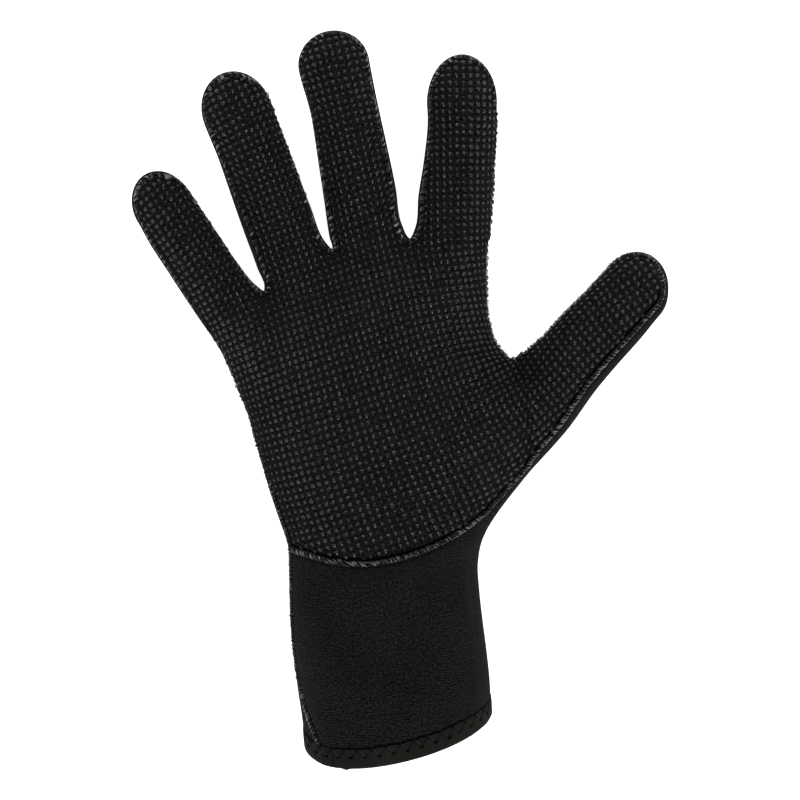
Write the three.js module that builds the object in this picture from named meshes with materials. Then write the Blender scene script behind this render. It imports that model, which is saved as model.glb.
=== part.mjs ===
// Right-hand five-finger sport glove of 3 mm neoprene, lying on its back with the palm up.
// Three sewn pieces: a dotted grip panel on the palm side, a plain panel that makes the back,
// the finger sides and the whole cuff, and a narrow binding folded round the cuff's rim.
//
// Millimetres, +Z up. The back of the hand rests on z = 0, the fingers point to +Y and the
// thumb to +X. The origin is under the middle of the glove, on the surface that it lies on.
//
// Each row of a table is a cross-section. The glove's plan outline comes from the rows' ends,
// and its fullness from how far a point lies inside that outline.
import * as THREE from "three";

// ---- driving dimensions -------------------------------------------------------------------
const CENTRE = [-0.45, 1.1];  // middle of the glove, in the tables' coordinates
const WALL = 3.0;            // neoprene sheet
const GAP = 0.3;             // between the edges that a seam joins
const FINGER_FULLNESS = 20.7; // half height squared over depth inside the outline
const PALM_FULLNESS = 17.3;
const CUFF_FULLNESS = 32.0;
const FULLNESS_FROM_Y = -52; // palm fullness above this line, cuff fullness below the next
const FULLNESS_TO_Y = -96;
const FINGER_REACH = 26;     // how far a finger's own bulge runs on into the palm
const CUFF_REACH = 80;       // the outline is carried on past the rim, so that the rim stays full
const BACK_INSET = 3.6;      // where the flank meets the back, in from the outline
const HEM = { band: 7.4, tongue: 0.8, proud: 0.5, ply: 1.0, lift: 0.5 };

const COLUMNS = 6;           // cells across a finger
const FLANK_COLUMNS = 3;     // cells down a flank, from the seam to the back
const CAP_ROWS = [0.5, 0.85, 1.0]; // share of the way round each fingertip

// ---- section tables -----------------------------------------------------------------------
// Fingers: where the axis starts, its heading in degrees from +X, and the tip's distance.
// skew: how far the tip slants, its left side further out. along: distance on the axis; left, right: outline each side of it; mid: height of the middle;
// seamL, seamR: how far inside the outline the grip panel's seam runs (below the middle if < 0).
const FINGERS = [
  { name: "little", base: [-61.0, 32.1], heading: 123.8, tip: 60.7, skew: -0.05, capSeam: 1.5, rows: [
    // along, left, right, mid, seamL, seamR
    [4, 12.3, 12.3, 18.0, 0.9, 1.2],
    [16, 12.3, 11.1, 19.0, 1.4, 0.8],
    [28, 12.1, 11.1, 20.5, 1.6, 0.6],
    [40, 11.8, 11.1, 22.5, 1.5, 0.5],
    [47, 11.1, 11.2, 23.5, 1.3, 0.5],
  ] },
  { name: "ring", base: [-40.3, 49.8], heading: 109.3, tip: 74.7, capSeam: 0.9, rows: [
    [4, 12.2, 14.9, 18.0, 2.6, 1.6],
    [18, 12.4, 14.0, 19.0, 2.9, 1.0],
    [32, 12.4, 13.7, 20.5, 2.1, 0.6],
    [46, 12.3, 13.3, 22.5, 1.4, 0.4],
    [59.7, 12.9, 12.9, 25.0, 1.0, 0.4],
  ] },
  { name: "middle", base: [-12.4, 58.6], heading: 100.4, tip: 78.3, capSeam: 1.0, rows: [
    [4, 13.2, 14.1, 18.0, 1.9, 2.3],
    [18, 12.7, 14.3, 19.0, 1.2, 1.8],
    [34, 12.2, 13.9, 20.5, 1.0, 1.5],
    [50, 11.8, 13.3, 23.0, 1.0, 1.4],
    [66, 13.2, 13.1, 26.0, 1.0, 1.3],
  ] },
  { name: "index", base: [19.6, 59.0], heading: 86.9, tip: 68.3, skew: 0.04, capSeam: 0.8, rows: [
    [4, 14.3, 13.5, 18.0, 1.9, 0.2],
    [16, 13.7, 13.8, 19.0, 1.6, 0.2],
    [30, 12.3, 13.8, 20.5, 1.5, 0.3],
    [44, 11.8, 13.9, 23.0, 1.4, 0.4],
    [51, 12.5, 13.4, 24.0, 1.2, 0.5],
  ] },
];
// The thumb's first two rows fan out from the palm, so they are given by their ends.
const THUMB = { name: "thumb", base: [47.8, -4.6], heading: 48.6, tip: 72.2, skew: 0.13, capSeam: 1.1,
  fan: [
    // xl, yl, xr, yr, mid, seamL, seamR
    [44.4, 17.2, 62.3, -10.2, 25.0, -0.3, 3.8],
  ],
  rows: [
    [22, 15.5, 12.8, 28.0, -0.3, 4.2],
    [34, 15.2, 12.4, 30.0, -0.3, 4.2],
    [46, 14.6, 12.4, 32.0, -0.3, 4.0],
    [58, 14.2, 11.9, 34.0, -0.3, 3.6],
  ] };
// Where the fingers part: little/ring, ring/middle, middle/index.
const CROTCHES = [[-50.4, 40.4], [-25.2, 56.0], [3.6, 59.8]];
const CROTCH_SEAM = 1.9;
// Palm: outline ends of each row, heights of the middle at both ends, seam insets at both ends.
// The thumb opens off the right-hand ends from row WEB_ROW to row HEEL_ROW.
const WEB_ROW = 4;
const HEEL_ROW = 10;
const PALM = [
  // xl, yl, xr, yr, midL, midR, seamL, seamR
  [-70.9, 25.0, 32.3, 55.3, 18.0, 18.0, 0.9, 0.2],
  [-67.5, 19.9, 32.2, 41.0, 18.0, 18.0, 0.8, 0.0],
  [-64.5, 14.0, 33.1, 29.0, 18.0, 18.4, 0.6, 0.0],
  [-61.8, 7.9, 36.4, 20.6, 18.0, 19.2, 0.5, -0.2],
  [-59.2, 1.7, 42.2, 15.7, 18.0, 20.0, 0.4, -0.3],
  [-56.2, -5.4, 44.6, 9.0, 18.0, 21.0, 0.4, 0.0],
  [-54.2, -13.1, 46.2, 1.6, 18.0, 22.0, 0.4, 0.0],
  [-52.0, -20.5, 47.3, -6.0, 18.0, 22.5, 0.5, 0.0],
  [-50.0, -27.9, 48.1, -13.4, 18.0, 22.5, 0.5, 0.0],
  [-47.7, -35.7, 48.3, -20.2, 18.0, 22.0, 0.6, 0.0],
  [-44.8, -44.2, 48.1, -26.4, 18.0, 21.5, 0.7, 2.2],
  [-41.4, -55.0, 35.2, -43.1, 18.0, 20.0, 0.9, 4.0],
];
// How far the palm/cuff seam sags below its ends: a parabola times powers of the way across, -1 to 1.
const SEAM_SAG = [10.6, -0.2, 0.3, 3.1];
// Cuff: outline ends, height of the middle, side seam's inset, right fold's inset, bow of the
// row on the palm side and on the back (towards the rim if > 0).
const CUFF = [
  // xl, yl, xr, yr, mid, seamL, foldR, bowFront, bowBack
  [-41.1, -61.3, 30.7, -50.9, 18.6, 0.9, 4.2, 8.6, 0.0],
  [-41.0, -69.8, 28.9, -60.2, 19.4, 0.9, 4.2, 8.0, 0.0],
  [-40.7, -78.6, 29.4, -70.5, 20.2, 0.9, 4.2, 7.6, 0.0],
  [-40.1, -87.9, 30.5, -80.8, 21.0, 0.9, 4.2, 7.6, 0.0],
  [-39.0, -97.1, 31.8, -90.8, 21.6, 1.0, 4.2, 8.0, 0.0],
  [-37.7, -106.7, 32.9, -100.5, 22.1, 2.2, 4.2, 8.8, -0.6],
  [-35.8, -119.9, 33.5, -108.8, 22.6, 6.8, 4.2, 9.9, -2.0],
];
const RIM_STEP = [0.35, -7.39]; // from the last row to the rim, in plan
const RIM_SKEW = 0.08;          // the rows bow more on the little finger's side

// ---- small helpers ------------------------------------------------------------------------
const lerp = (a, b, t) => a + (b - a) * t;
const mix = (p, q, t) => p.map((v, i) => lerp(v, q[i], t));
const add = (p, q, k = 1) => p.map((v, i) => v + q[i] * k);
const sub = (p, q) => p.map((v, i) => v - q[i]);
const dot = (p, q) => p.reduce((s, v, i) => s + v * q[i], 0);
const length = (p) => Math.hypot(...p);
const unit = (p) => { const l = length(p) || 1; return p.map((v) => v / l); };
const cross = (a, b) => [a[1] * b[2] - a[2] * b[1], a[2] * b[0] - a[0] * b[2], a[0] * b[1] - a[1] * b[0]];
const smooth = (t) => { const c = Math.min(1, Math.max(0, t)); return c * c * (3 - 2 * c); };
const spread = (j, n) => Math.sin(Math.PI * (j / n - 0.5)); // -1 to 1, closer at the ends
const share = (j, n, even = 0) => lerp((1 + spread(j, n)) / 2, j / n, even); // 0 to 1

// ---- plan nodes ---------------------------------------------------------------------------
// A node has its place on the full plan, the height of the glove's middle there, and, on the
// outline, the seam's inset and the back's inset.
const nodes = [];
const node = (p, mid) => nodes.push({ p, mid, seam: null, back: BACK_INSET }) - 1;

const axisOf = (f) => {
  const a = (f.heading * Math.PI) / 180;
  return { u: [Math.cos(a), Math.sin(a)], r: [Math.sin(a), -Math.cos(a)] };
};

// One finger's nodes, row by row, on from a row of nodes that it shares with the palm.
function fingerGrid(f, first) {
  const { u, r } = axisOf(f);
  const grid = [first];
  const rowNodes = (left, right, mid, seamL, seamR) => {
    const row = [];
    for (let j = 0; j <= COLUMNS; j++)
      row.push(node(mix(left, right, share(j, COLUMNS)), mid));
    nodes[row[0]].seam = seamL;
    nodes[row[COLUMNS]].seam = seamR;
    grid.push(row);
  };
  for (const [xl, yl, xr, yr, mid, sl, sr] of f.fan ?? [])
    rowNodes([xl, yl], [xr, yr], mid, sl, sr);
  for (const [along, left, right, mid, sl, sr] of f.rows) {
    const c = add(f.base, u, along);
    rowNodes(add(c, r, -left), add(c, r, right), mid, sl, sr);
  }
  // The tip is half an ellipse past the last row; its rows bend round to its edge.
  const [along, left, right, mid, sl, sr] = f.rows[f.rows.length - 1];
  const half = (left + right) / 2;
  const centre = add(add(f.base, u, along), r, (right - left) / 2);
  for (const t of CAP_ROWS) {
    const row = [];
    for (let j = 0; j <= COLUMNS; j++) {
      const s = spread(j, COLUMNS);
      const x = s * Math.sqrt(1 - (t * t) / 2) * half;
      const y = t * Math.sqrt(1 - (s * s) / 2) * (f.tip - along) - (f.skew ?? 0) * x * t;
      row.push(node(add(add(centre, r, x), u, y), mid + 0.15 * y));
      if (j === 0) nodes[row[j]].seam = lerp(sl, f.capSeam, t);
      if (j === COLUMNS) nodes[row[j]].seam = lerp(sr, f.capSeam, f.fan ? t * t : t);
      if (t === 1 && j > 0 && j < COLUMNS) nodes[row[j]].seam = f.capSeam;
    }
    grid.push(row);
  }
  return grid;
}

// ---- the sheet: palm, fingers, thumb and cuff ---------------------------------------------
const ACROSS = COLUMNS * FINGERS.length;
const palmRows = PALM.length - 1;
const across = (c) => share(c, ACROSS, 0.7);

// Top edge of the palm: straight from crotch to crotch.
const [p0] = PALM;
const stops = [[p0[0], p0[1]], ...CROTCHES, [p0[2], p0[3]]];
const topEdge = (c) => {
  const f = Math.min(FINGERS.length - 1, Math.floor(c / COLUMNS));
  return mix(stops[f], stops[f + 1], share(c - f * COLUMNS, COLUMNS));
};
const last = PALM[palmRows];
const bottomEdge = (c) => {
  const s = across(c), v = 2 * s - 1;
  const p = mix([last[0], last[1]], [last[2], last[3]], s);
  return [p[0], p[1] - (1 - v * v) * SEAM_SAG.reduce((sum, a, k) => sum + a * v ** k, 0)];
};
const cornerTL = stops[0], cornerTR = stops[FINGERS.length];
const cornerBL = bottomEdge(0), cornerBR = bottomEdge(ACROSS);
const palm = PALM.map(([xl, yl, xr, yr, midL, midR, seamL, seamR], i) => {
  const t = i / palmRows;
  const row = [];
  for (let c = 0; c <= ACROSS; c++) {
    const f = Math.min(FINGERS.length - 1, Math.floor(c / COLUMNS));
    const w = lerp((f + share(c - f * COLUMNS, COLUMNS)) / FINGERS.length, across(c), smooth(t));
    const T = topEdge(c), B = bottomEdge(c);
    const p = [0, 1].map((k) =>
      lerp(T[k], B[k], t) + lerp([xl, yl][k], [xr, yr][k], w) -
      lerp(lerp(cornerTL[k], cornerTR[k], w), lerp(cornerBL[k], cornerBR[k], w), t));
    const place = i === 0 ? T : i === palmRows ? B : c === 0 ? [xl, yl] : c === ACROSS ? [xr, yr] : p;
    const id = node(place, lerp(midL, midR, smooth((w - 0.35) / 0.65)));
    row.push(id);
    if (c === 0) nodes[id].seam = seamL;
    if (c === ACROSS && (i <= WEB_ROW || i >= HEEL_ROW)) nodes[id].seam = seamR;
  }
  return row;
});
for (let f = 1; f < FINGERS.length; f++) {
  nodes[palm[0][f * COLUMNS]].seam = CROTCH_SEAM;
  nodes[palm[0][f * COLUMNS]].back = 2.4;
}
const fingers = FINGERS.map((f, i) => fingerGrid(f, palm[0].slice(i * COLUMNS, (i + 1) * COLUMNS + 1)));
const thumb = fingerGrid(THUMB, palm.slice(WEB_ROW, HEEL_ROW + 1).map((row) => row[ACROSS]));

// The cuff goes on from the palm's last row to the hem; the rim is a step further.
const cuff = [palm[palmRows]];
for (const [xl, yl, xr, yr, mid, seamL, foldR, bowFront, bowBack] of CUFF) {
  const row = [];
  for (let c = 0; c <= ACROSS; c++) {
    const id = node(mix([xl, yl], [xr, yr], across(c)), mid);
    nodes[id].bow = [bowFront, bowBack];
    nodes[id].crest = mix([xl, yl], [xr, yr], 0.5);
    nodes[id].skew = 1 - RIM_SKEW * (2 * across(c) - 1);
    row.push(id);
  }
  nodes[row[0]].seam = seamL;
  nodes[row[ACROSS]].seam = foldR;
  cuff.push(row);
}
for (let c = 1; c < ACROSS; c++) {
  // Only the palm side of the last palm row is bowed; the back of that row is straight.
  const s = across(c);
  nodes[palm[palmRows][c]].straight = mix([last[0], last[1]], [last[2], last[3]], s);
}
const hemRow = cuff.length - 1;

// ---- outline ------------------------------------------------------------------------------
// Anticlockwise seen from above would be up the right side; this runs up the left side from the
// rim, round the fingers and the thumb, and down to the rim on the right, so the glove is on
// its right-hand side.
const outline = [];
const side = (grid, from) => { for (let r = from; r < grid.length; r++) outline.push(grid[r][0]); };
for (let r = hemRow; r > 0; r--) outline.push(cuff[r][0]);
for (let r = palmRows; r > 0; r--) outline.push(palm[r][0]);
outline.push(palm[0][0]);
const round = (grid) => {
  side(grid, 1);
  const tip = grid[grid.length - 1];
  for (let j = 1; j < COLUMNS; j++) outline.push(tip[j]);
  for (let r = grid.length - 1; r >= 1; r--) outline.push(grid[r][COLUMNS]);
};
fingers.forEach((grid, f) => {
  round(grid);
  outline.push(palm[0][(f + 1) * COLUMNS]);
});
for (let r = 1; r <= WEB_ROW; r++) outline.push(palm[r][ACROSS]);
round(thumb);
for (let r = HEEL_ROW; r <= palmRows; r++) outline.push(palm[r][ACROSS]);
for (let r = 1; r <= hemRow; r++) outline.push(cuff[r][ACROSS]);

outline.forEach((id, i) => {
  const a = nodes[outline[Math.max(0, i - 1)]].p, b = nodes[outline[Math.min(outline.length - 1, i + 1)]].p;
  const p = nodes[id].p;
  const n1 = unit(sub(p, a)), n2 = unit(sub(b, p));
  const t = unit(i === 0 ? n2 : i === outline.length - 1 ? n1 : add(n1, n2));
  nodes[id].inward = [t[1], -t[0]];
});

// ---- fullness -----------------------------------------------------------------------------
// Depth inside a polygon: twice the inverse of the mean nearness of its edges, seen all round.
// It is zero on the edge, and (w² - x²) / 2w across a long strip of half width w.
function depth(poly, p) {
  let nearness = 0;
  for (let i = 0; i < poly.length; i++) {
    const a = poly[i], b = poly[(i + 1) % poly.length];
    const t = sub(b, a), l = length(t);
    if (l < 1e-9) continue;
    const e = [t[0] / l, t[1] / l];
    const q = sub(p, a);
    const off = q[1] * e[0] - q[0] * e[1]; // right-hand side of the edge is inside
    const d = -off;
    const s1 = -dot(q, e), s2 = l - dot(q, e);
    if (Math.abs(d) < 1e-7) {
      if (s1 < 1e-9 && s2 > -1e-9) return 0;
      continue;
    }
    nearness += (s2 / Math.hypot(d, s2) - s1 / Math.hypot(d, s1)) / d;
  }
  return nearness > 1e-9 ? 2 / nearness : 0;
}
const at = (id) => nodes[id].p;
const bulges = FINGERS.map((f, i) => {
  const { u, r } = axisOf(f);
  const grid = fingers[i];
  const tip = grid[grid.length - 1];
  const end = add(f.base, u, -FINGER_REACH);
  return { fullness: FINGER_FULLNESS, poly: [
    add(end, r, -6), add(add(f.base, u, -FINGER_REACH * 0.6), r, -10),
    ...grid.map((row) => at(row[0])), ...tip.slice(1, COLUMNS).map(at),
    ...grid.map((row) => at(row[COLUMNS])).reverse(),
    add(add(f.base, u, -FINGER_REACH * 0.6), r, 10), add(end, r, 6),
  ] };
});
bulges.push({ fullness: FINGER_FULLNESS, poly: [
  ...thumb.map((row) => at(row[0])), ...thumb[thumb.length - 1].slice(1, COLUMNS).map(at),
  ...thumb.map((row) => at(row[COLUMNS])).reverse(), at(palm[palmRows][ACROSS]),
  [22, -38], [9, -24], [4, -6], [9, 12], [27, 20],
] });
const bodyPoly = [
  add(at(cuff[hemRow][0]), [4, -CUFF_REACH]),
  ...cuff.slice(1).map((row) => at(row[0])).reverse(),
  ...palm.map((row) => at(row[0])).reverse(),
  ...CROTCHES,
  ...palm.slice(0, WEB_ROW + 1).map((row) => at(row[ACROSS])),
  [52, 9], [57, -2], [57, -13],
  ...palm.slice(HEEL_ROW).map((row) => at(row[ACROSS])),
  ...cuff.slice(1).map((row) => at(row[ACROSS])),
  add(at(cuff[hemRow][ACROSS]), [-4, -CUFF_REACH]),
];
function halfHeight(p) {
  const k = lerp(PALM_FULLNESS, CUFF_FULLNESS, smooth((p[1] - FULLNESS_FROM_Y) / (FULLNESS_TO_Y - FULLNESS_FROM_Y)));
  let sum = Math.pow(k * depth(bodyPoly, p), 2);
  for (const { fullness, poly } of bulges) {
    const d = depth(poly, p);
    if (d > 0 && d < 60) sum += Math.pow(fullness * d, 2);
  }
  return Math.pow(sum, 0.25);
}

// ---- surface vertices ---------------------------------------------------------------------
// Each node has a vertex on the palm side and one on the back; each outline node also has the
// flank's vertices between them. Insets shift the outline's nodes inwards, and the rows' other
// nodes go along in proportion.
const vertices = [], normals = [];
const floorAt = (y) => HEM.lift * smooth((-y - 96) / 10);
// A point on the surface and the way that it faces, from the slope of the half height's square.
// Close to the outline that slope points straight in.
function place(p, mid, up, inward = null, bow = null) {
  const h = halfHeight(p), step = 0.3;
  const z = mid + up * h, low = floorAt(p[1]);
  const square = (q) => Math.pow(halfHeight(q), 2);
  let g;
  if (inward) g = inward.map((v) => (v * (square(add(p, inward, step)) - h * h)) / step);
  else g = [
    (square([p[0] + step, p[1]]) - square([p[0] - step, p[1]])) / (2 * step),
    (square([p[0], p[1] + step]) - square([p[0], p[1] - step])) / (2 * step),
  ];
  const n = z < low ? [0, 0, -1] : unit([-g[0] / 2, -g[1] / 2, up * h]);
  // A bowed row sags towards the rim by its height over the middle, as a share of its crest's,
  // and on smoothly below the middle.
  let sag = 0;
  if (bow) {
    const lean = Math.max(-1, Math.min(1, (up * h) / bow.crest));
    sag = bow.front * lean + (lean < 0 ? (bow.front + bow.back) * lean * lean : 0);
  }
  return { v: [p[0], p[1] - sag, Math.max(z, low)], n };
}

// How far each node is shifted, for the seam (palm side) or the back's edge.
function shifts(insetOf) {
  const moved = new Map();
  for (const id of outline) moved.set(id, nodes[id].inward.map((v) => v * insetOf(nodes[id])));
  // Across each row, in proportion; rounding the tip, in both directions.
  const rowShift = (row, even = 0) => {
    const n = row.length - 1;
    const a = moved.get(row[0]), b = moved.get(row[n]);
    for (let j = 1; j < n; j++) if (!moved.has(row[j])) moved.set(row[j], mix(a, b, share(j, n, even)));
  };
  for (let f = 0; f < FINGERS.length; f++) rowShift(palm[0].slice(f * COLUMNS, (f + 1) * COLUMNS + 1));
  const base = palm.slice(WEB_ROW, HEEL_ROW + 1).map((row) => row[ACROSS]);
  rowShift(base, 1);
  for (const grid of [...fingers, thumb]) {
    const n = grid.length - 1, cap = n - CAP_ROWS.length;
    for (let r = 1; r < n; r++) {
      rowShift(grid[r]);
      if (r > cap) {
        const k = CAP_ROWS[r - cap - 1];
        for (let j = 1; j < COLUMNS; j++) {
          const here = moved.get(grid[r][j]);
          const tip = moved.get(grid[n][j]);
          const line = mix(moved.get(grid[n][0]), moved.get(grid[n][COLUMNS]), share(j, COLUMNS));
          moved.set(grid[r][j], add(here, sub(tip, line), k * k));
        }
      }
    }
  }
  for (let r = 1; r <= palmRows; r++) {
    const row = palm[r];
    const a = moved.get(row[0]), b = moved.get(row[ACROSS]);
    const fade = Math.pow(1 - r / palmRows, 2);
    for (let c = 1; c < ACROSS; c++) {
      const top = sub(moved.get(palm[0][c]), mix(moved.get(palm[0][0]), moved.get(palm[0][ACROSS]), across(c)));
      moved.set(row[c], add(mix(a, b, across(c)), top, fade));
    }
  }
  for (let r = 1; r <= hemRow; r++) rowShift(cuff[r], 0.7);
  return moved;
}

const seamShift = shifts((n) => Math.abs(n.seam) < 0.05 ? 0.05 : Math.abs(n.seam));
const backShift = shifts((n) => n.back);
const frontOf = [], backOf = [];
const vertex = ({ v, n }) => { normals.push(n); return vertices.push(v) - 1; };
nodes.forEach((n, id) => {
  const front = add(n.p, seamShift.get(id));
  const backBase = n.straight ?? n.p;
  const back = add(backBase, backShift.get(id));
  if (n.bow) n.bow = { front: n.bow[0] * n.skew, back: n.bow[1], crest: halfHeight(n.crest) };
  const sink = n.seam !== null && n.seam < 0 ? -1 : 1;
  const near = n.seam !== null && Math.abs(n.seam) < 1.2 ? n.inward : null;
  frontOf.push(vertex(place(front, n.mid, sink, near, n.bow)));
  backOf.push(vertex(place(back, n.mid, -1, null, n.bow)));
});
// Flank: equal steps of the square root of the inset, signed by the side, so that the steps are
// about equal round the glove's edge.
const flankOf = new Map();
for (const id of outline) {
  const n = nodes[id];
  const from = Math.sign(n.seam || 1) * Math.sqrt(Math.max(Math.abs(n.seam), 0.05));
  const to = -Math.sqrt(n.back);
  const list = [frontOf[id]];
  for (let k = 1; k < FLANK_COLUMNS; k++) {
    const q = lerp(from, to, k / FLANK_COLUMNS);
    const p = add(n.p, n.inward, q * q);
    list.push(vertex(place(p, n.mid, Math.sign(q) || 1, q * q < 1.2 ? n.inward : null, n.bow)));
  }
  list.push(backOf[id]);
  flankOf.set(id, list);
}

// ---- faces --------------------------------------------------------------------------------
const faces = { grip: [], plain: [], cuffFront: [] };
const quads = (grid, rows, list, flip) => {
  for (let r = 0; r < rows; r++)
    for (let j = 0; j + 1 < grid[r].length; j++) {
      const q = [grid[r][j], grid[r][j + 1], grid[r + 1][j + 1], grid[r + 1][j]];
      list.push(flip ? q.reverse() : q);
    }
};
const mapGrid = (grid, of) => grid.map((row) => row.map((id) => of[id]));
// Fingers run away from the palm row, so their cells face up as they are; palm and cuff rows run
// towards the rim, so theirs are turned round.
for (const grid of [...fingers, thumb]) {
  quads(mapGrid(grid, frontOf), grid.length - 1, faces.grip, false);
  quads(mapGrid(grid, backOf), grid.length - 1, faces.plain, true);
}
quads(mapGrid(palm, frontOf), palmRows, faces.grip, true);
quads(mapGrid(palm, backOf), palmRows, faces.plain, false);
quads(mapGrid(cuff, frontOf), hemRow, faces.cuffFront, true);
quads(mapGrid(cuff, backOf), hemRow, faces.plain, false);
const flank = outline.map((id) => flankOf.get(id));
for (let i = 0; i + 1 < flank.length; i++)
  for (let k = 0; k < FLANK_COLUMNS; k++)
    faces.plain.push([flank[i][k], flank[i + 1][k], flank[i + 1][k + 1], flank[i][k + 1]]);

const triangles = (q) => {
  const d1 = length(sub(vertices[q[0]], vertices[q[2]])), d2 = length(sub(vertices[q[1]], vertices[q[3]]));
  return d1 <= d2 ? [[q[0], q[1], q[2]], [q[0], q[2], q[3]]] : [[q[1], q[2], q[3]], [q[1], q[3], q[0]]];
};

// ---- hem ----------------------------------------------------------------------------------
// The ring of vertices at the groove, once round the cuff, and the way from it to the rim.
const ringIds = [
  ...cuff[hemRow].map((id) => frontOf[id]),
  ...flankOf.get(cuff[hemRow][ACROSS]).slice(1),
  ...cuff[hemRow].map((id) => backOf[id]).reverse().slice(1),
  ...flankOf.get(cuff[hemRow][0]).slice(1, -1).reverse(),
];
const alongHem = (v, mm) => {
  const step = unit([RIM_STEP[0], RIM_STEP[1], 0]);
  const n = normals[v];
  const flat = unit(sub(step, n.map((k) => k * dot(step, n))));
  return add(vertices[v], flat, mm);
};

// ---- making closed walls ------------------------------------------------------------------
// Each outer vertex gets an inner one below it along its normal. Free edges get a wall, and
// their vertices draw back by half the gap.
const slit = new Map(); // the cuff's front has its own vertices along the side seam
for (let r = 0; r <= hemRow; r++) slit.set(frontOf[cuff[r][0]], true);

function closedWall(lists) {
  const outer = [], index = new Map();
  const local = (v, tag) => {
    const key = slit.has(v) && tag === "cuffFront" ? -v - 1 : v;
    if (!index.has(key)) { index.set(key, outer.length); outer.push({ v, p: vertices[v], n: normals[v], top: 0, under: WALL }); }
    return index.get(key);
  };
  const tris = [];
  for (const [tag, list] of lists)
    for (const q of list)
      for (const t of triangles(q)) tris.push(t.map((v) => local(v, tag)));
  return { outer, tris, index };
}

function shell({ outer, tris }) {
  const edges = new Map();
  const key = (a, b) => a * 100000 + b;
  for (const [a, b, c] of tris) { edges.set(key(a, b), [a, b, c]); edges.set(key(b, c), [b, c, a]); edges.set(key(c, a), [c, a, b]); }
  const free = [...edges.values()].filter(([a, b]) => !edges.has(key(b, a)));
  const draws = outer.map(() => []);
  for (const [a, b] of free) {
    if (outer[a].rim && outer[b].rim) continue;
    const t = unit(sub(outer[b].p, outer[a].p));
    for (const v of [a, b]) draws[v].push(unit(cross(outer[v].n, t)));
  }
  const upper = outer.map(({ p, n, top }, i) => {
    let q = p;
    if (draws[i].length) {
      const d = unit(draws[i].reduce((s, v) => add(s, v), [0, 0, 0]));
      q = add(q, d, Math.min(GAP / 2 / Math.max(0.5, dot(d, draws[i][0])), GAP));
    }
    return { q, n, top };
  });
  const pos = [];
  upper.forEach(({ q, n, top }) => pos.push(add(q, n, -top)));
  upper.forEach(({ q, n }, i) => pos.push(add(q, n, -outer[i].under)));
  const m = outer.length, out = [];
  for (const [a, b, c] of tris) { out.push([a, b, c], [a + m, c + m, b + m]); }
  // Both panels split a seam's wall along the same diagonal, the shorter one.
  const under = outer.map(({ p, n, under: u }) => add(p, n, -u));
  for (const [a, b] of free) {
    if (length(sub(outer[b].p, under[a])) <= length(sub(outer[a].p, under[b])))
      out.push([b, a, a + m], [b, a + m, b + m]);
    else out.push([b, a, b + m], [a, a + m, b + m]);
  }
  return { pos, tris: out };
}

function meshOf(name, { pos, tris }, look) {
  const used = new Map(), place3 = [], indices = [];
  for (const t of tris)
    for (const v of t) {
      if (!used.has(v)) {
        used.set(v, place3.length / 3);
        place3.push(pos[v][0] - CENTRE[0], pos[v][1] - CENTRE[1], pos[v][2]);
      }
      indices.push(used.get(v));
    }
  const g = new THREE.BufferGeometry();
  g.setAttribute("position", new THREE.Float32BufferAttribute(place3, 3));
  g.setIndex(indices);
  g.computeVertexNormals();
  const mesh = new THREE.Mesh(g, new THREE.MeshStandardMaterial(look));
  mesh.name = name;
  return mesh;
}

// Grip panel: palm side of the fingers, the thumb and the palm.
const gripPanel = meshOf("palm_panel", shell(closedWall([["grip", faces.grip]])),
  { color: 0x1c1c1c, roughness: 0.85, metalness: 0 });

// Plain panel, with the thinner tongue that the binding grips.
const plain = closedWall([["plain", faces.plain], ["cuffFront", faces.cuffFront]]);
{
  // Vertices along the groove in this panel, in order, with the slit's two ends apart.
  const front = cuff[hemRow].map((id, c) => plain.index.get(c === 0 ? -frontOf[id] - 1 : frontOf[id]));
  const rest = [
    ...flankOf.get(cuff[hemRow][ACROSS]).slice(1),
    ...cuff[hemRow].map((id) => backOf[id]).reverse().slice(1),
    ...flankOf.get(cuff[hemRow][0]).slice(0, -1).reverse(),
  ].map((v) => plain.index.get(v));
  let before = [...front, ...rest];
  for (const along of [0.15, HEM.band - HEM.ply - 2 * GAP]) {
    const row = before.map((i) => {
      const o = plain.outer[i];
      const base = o.root ?? o;
      plain.outer.push({ v: o.v, root: base, p: alongHem(base.v, along), n: base.n,
        top: HEM.tongue, under: WALL - HEM.tongue, rim: along > 1 });
      return plain.outer.length - 1;
    });
    for (let i = 0; i + 1 < row.length; i++)
      plain.tris.push([before[i], row[i], row[i + 1]], [before[i], row[i + 1], before[i + 1]]);
    before = row;
  }
}
const plainPanel = meshOf("back_panel", shell(plain), { color: 0x161616, roughness: 0.8, metalness: 0 });

// Binding: a strip folded over the tongue, a U in section, swept once round the rim.
const binding = (() => {
  const b = HEM.band, start = 0.15 + GAP, end = b - HEM.ply - GAP;
  const inner = HEM.tongue - GAP, far = WALL - inner;
  const section = [ // along the hem, depth below the cuff's outer face
    [start, inner], [start, -HEM.proud * 0.5], [start + 0.7, -HEM.proud],
    [b - 1.4, -HEM.proud], [b - 0.35, 0.35], [b, WALL / 2], [b - 0.35, WALL - 0.35],
    [b - 1.4, WALL + HEM.proud], [start + 0.7, WALL + HEM.proud], [start, WALL + HEM.proud * 0.5],
    [start, far], [end, far], [end, inner],
  ];
  const pos = [], tris = [];
  const n = section.length, m = ringIds.length;
  for (const v of ringIds)
    for (const [along, deep] of section) pos.push(add(alongHem(v, along), normals[v], -deep));
  for (let i = 0; i < m; i++)
    for (let k = 0; k < n; k++) {
      const a = i * n + k, b2 = i * n + ((k + 1) % n);
      const c = ((i + 1) % m) * n + ((k + 1) % n), d = ((i + 1) % m) * n + k;
      // The same diagonal as the tongue's, so that the faces stay parallel.
      if (section[(k + 1) % n][0] < section[k][0]) tris.push([a, b2, d], [b2, c, d]);
      else tris.push([a, b2, c], [a, c, d]);
    }
  return { pos, tris };
})();
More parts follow.
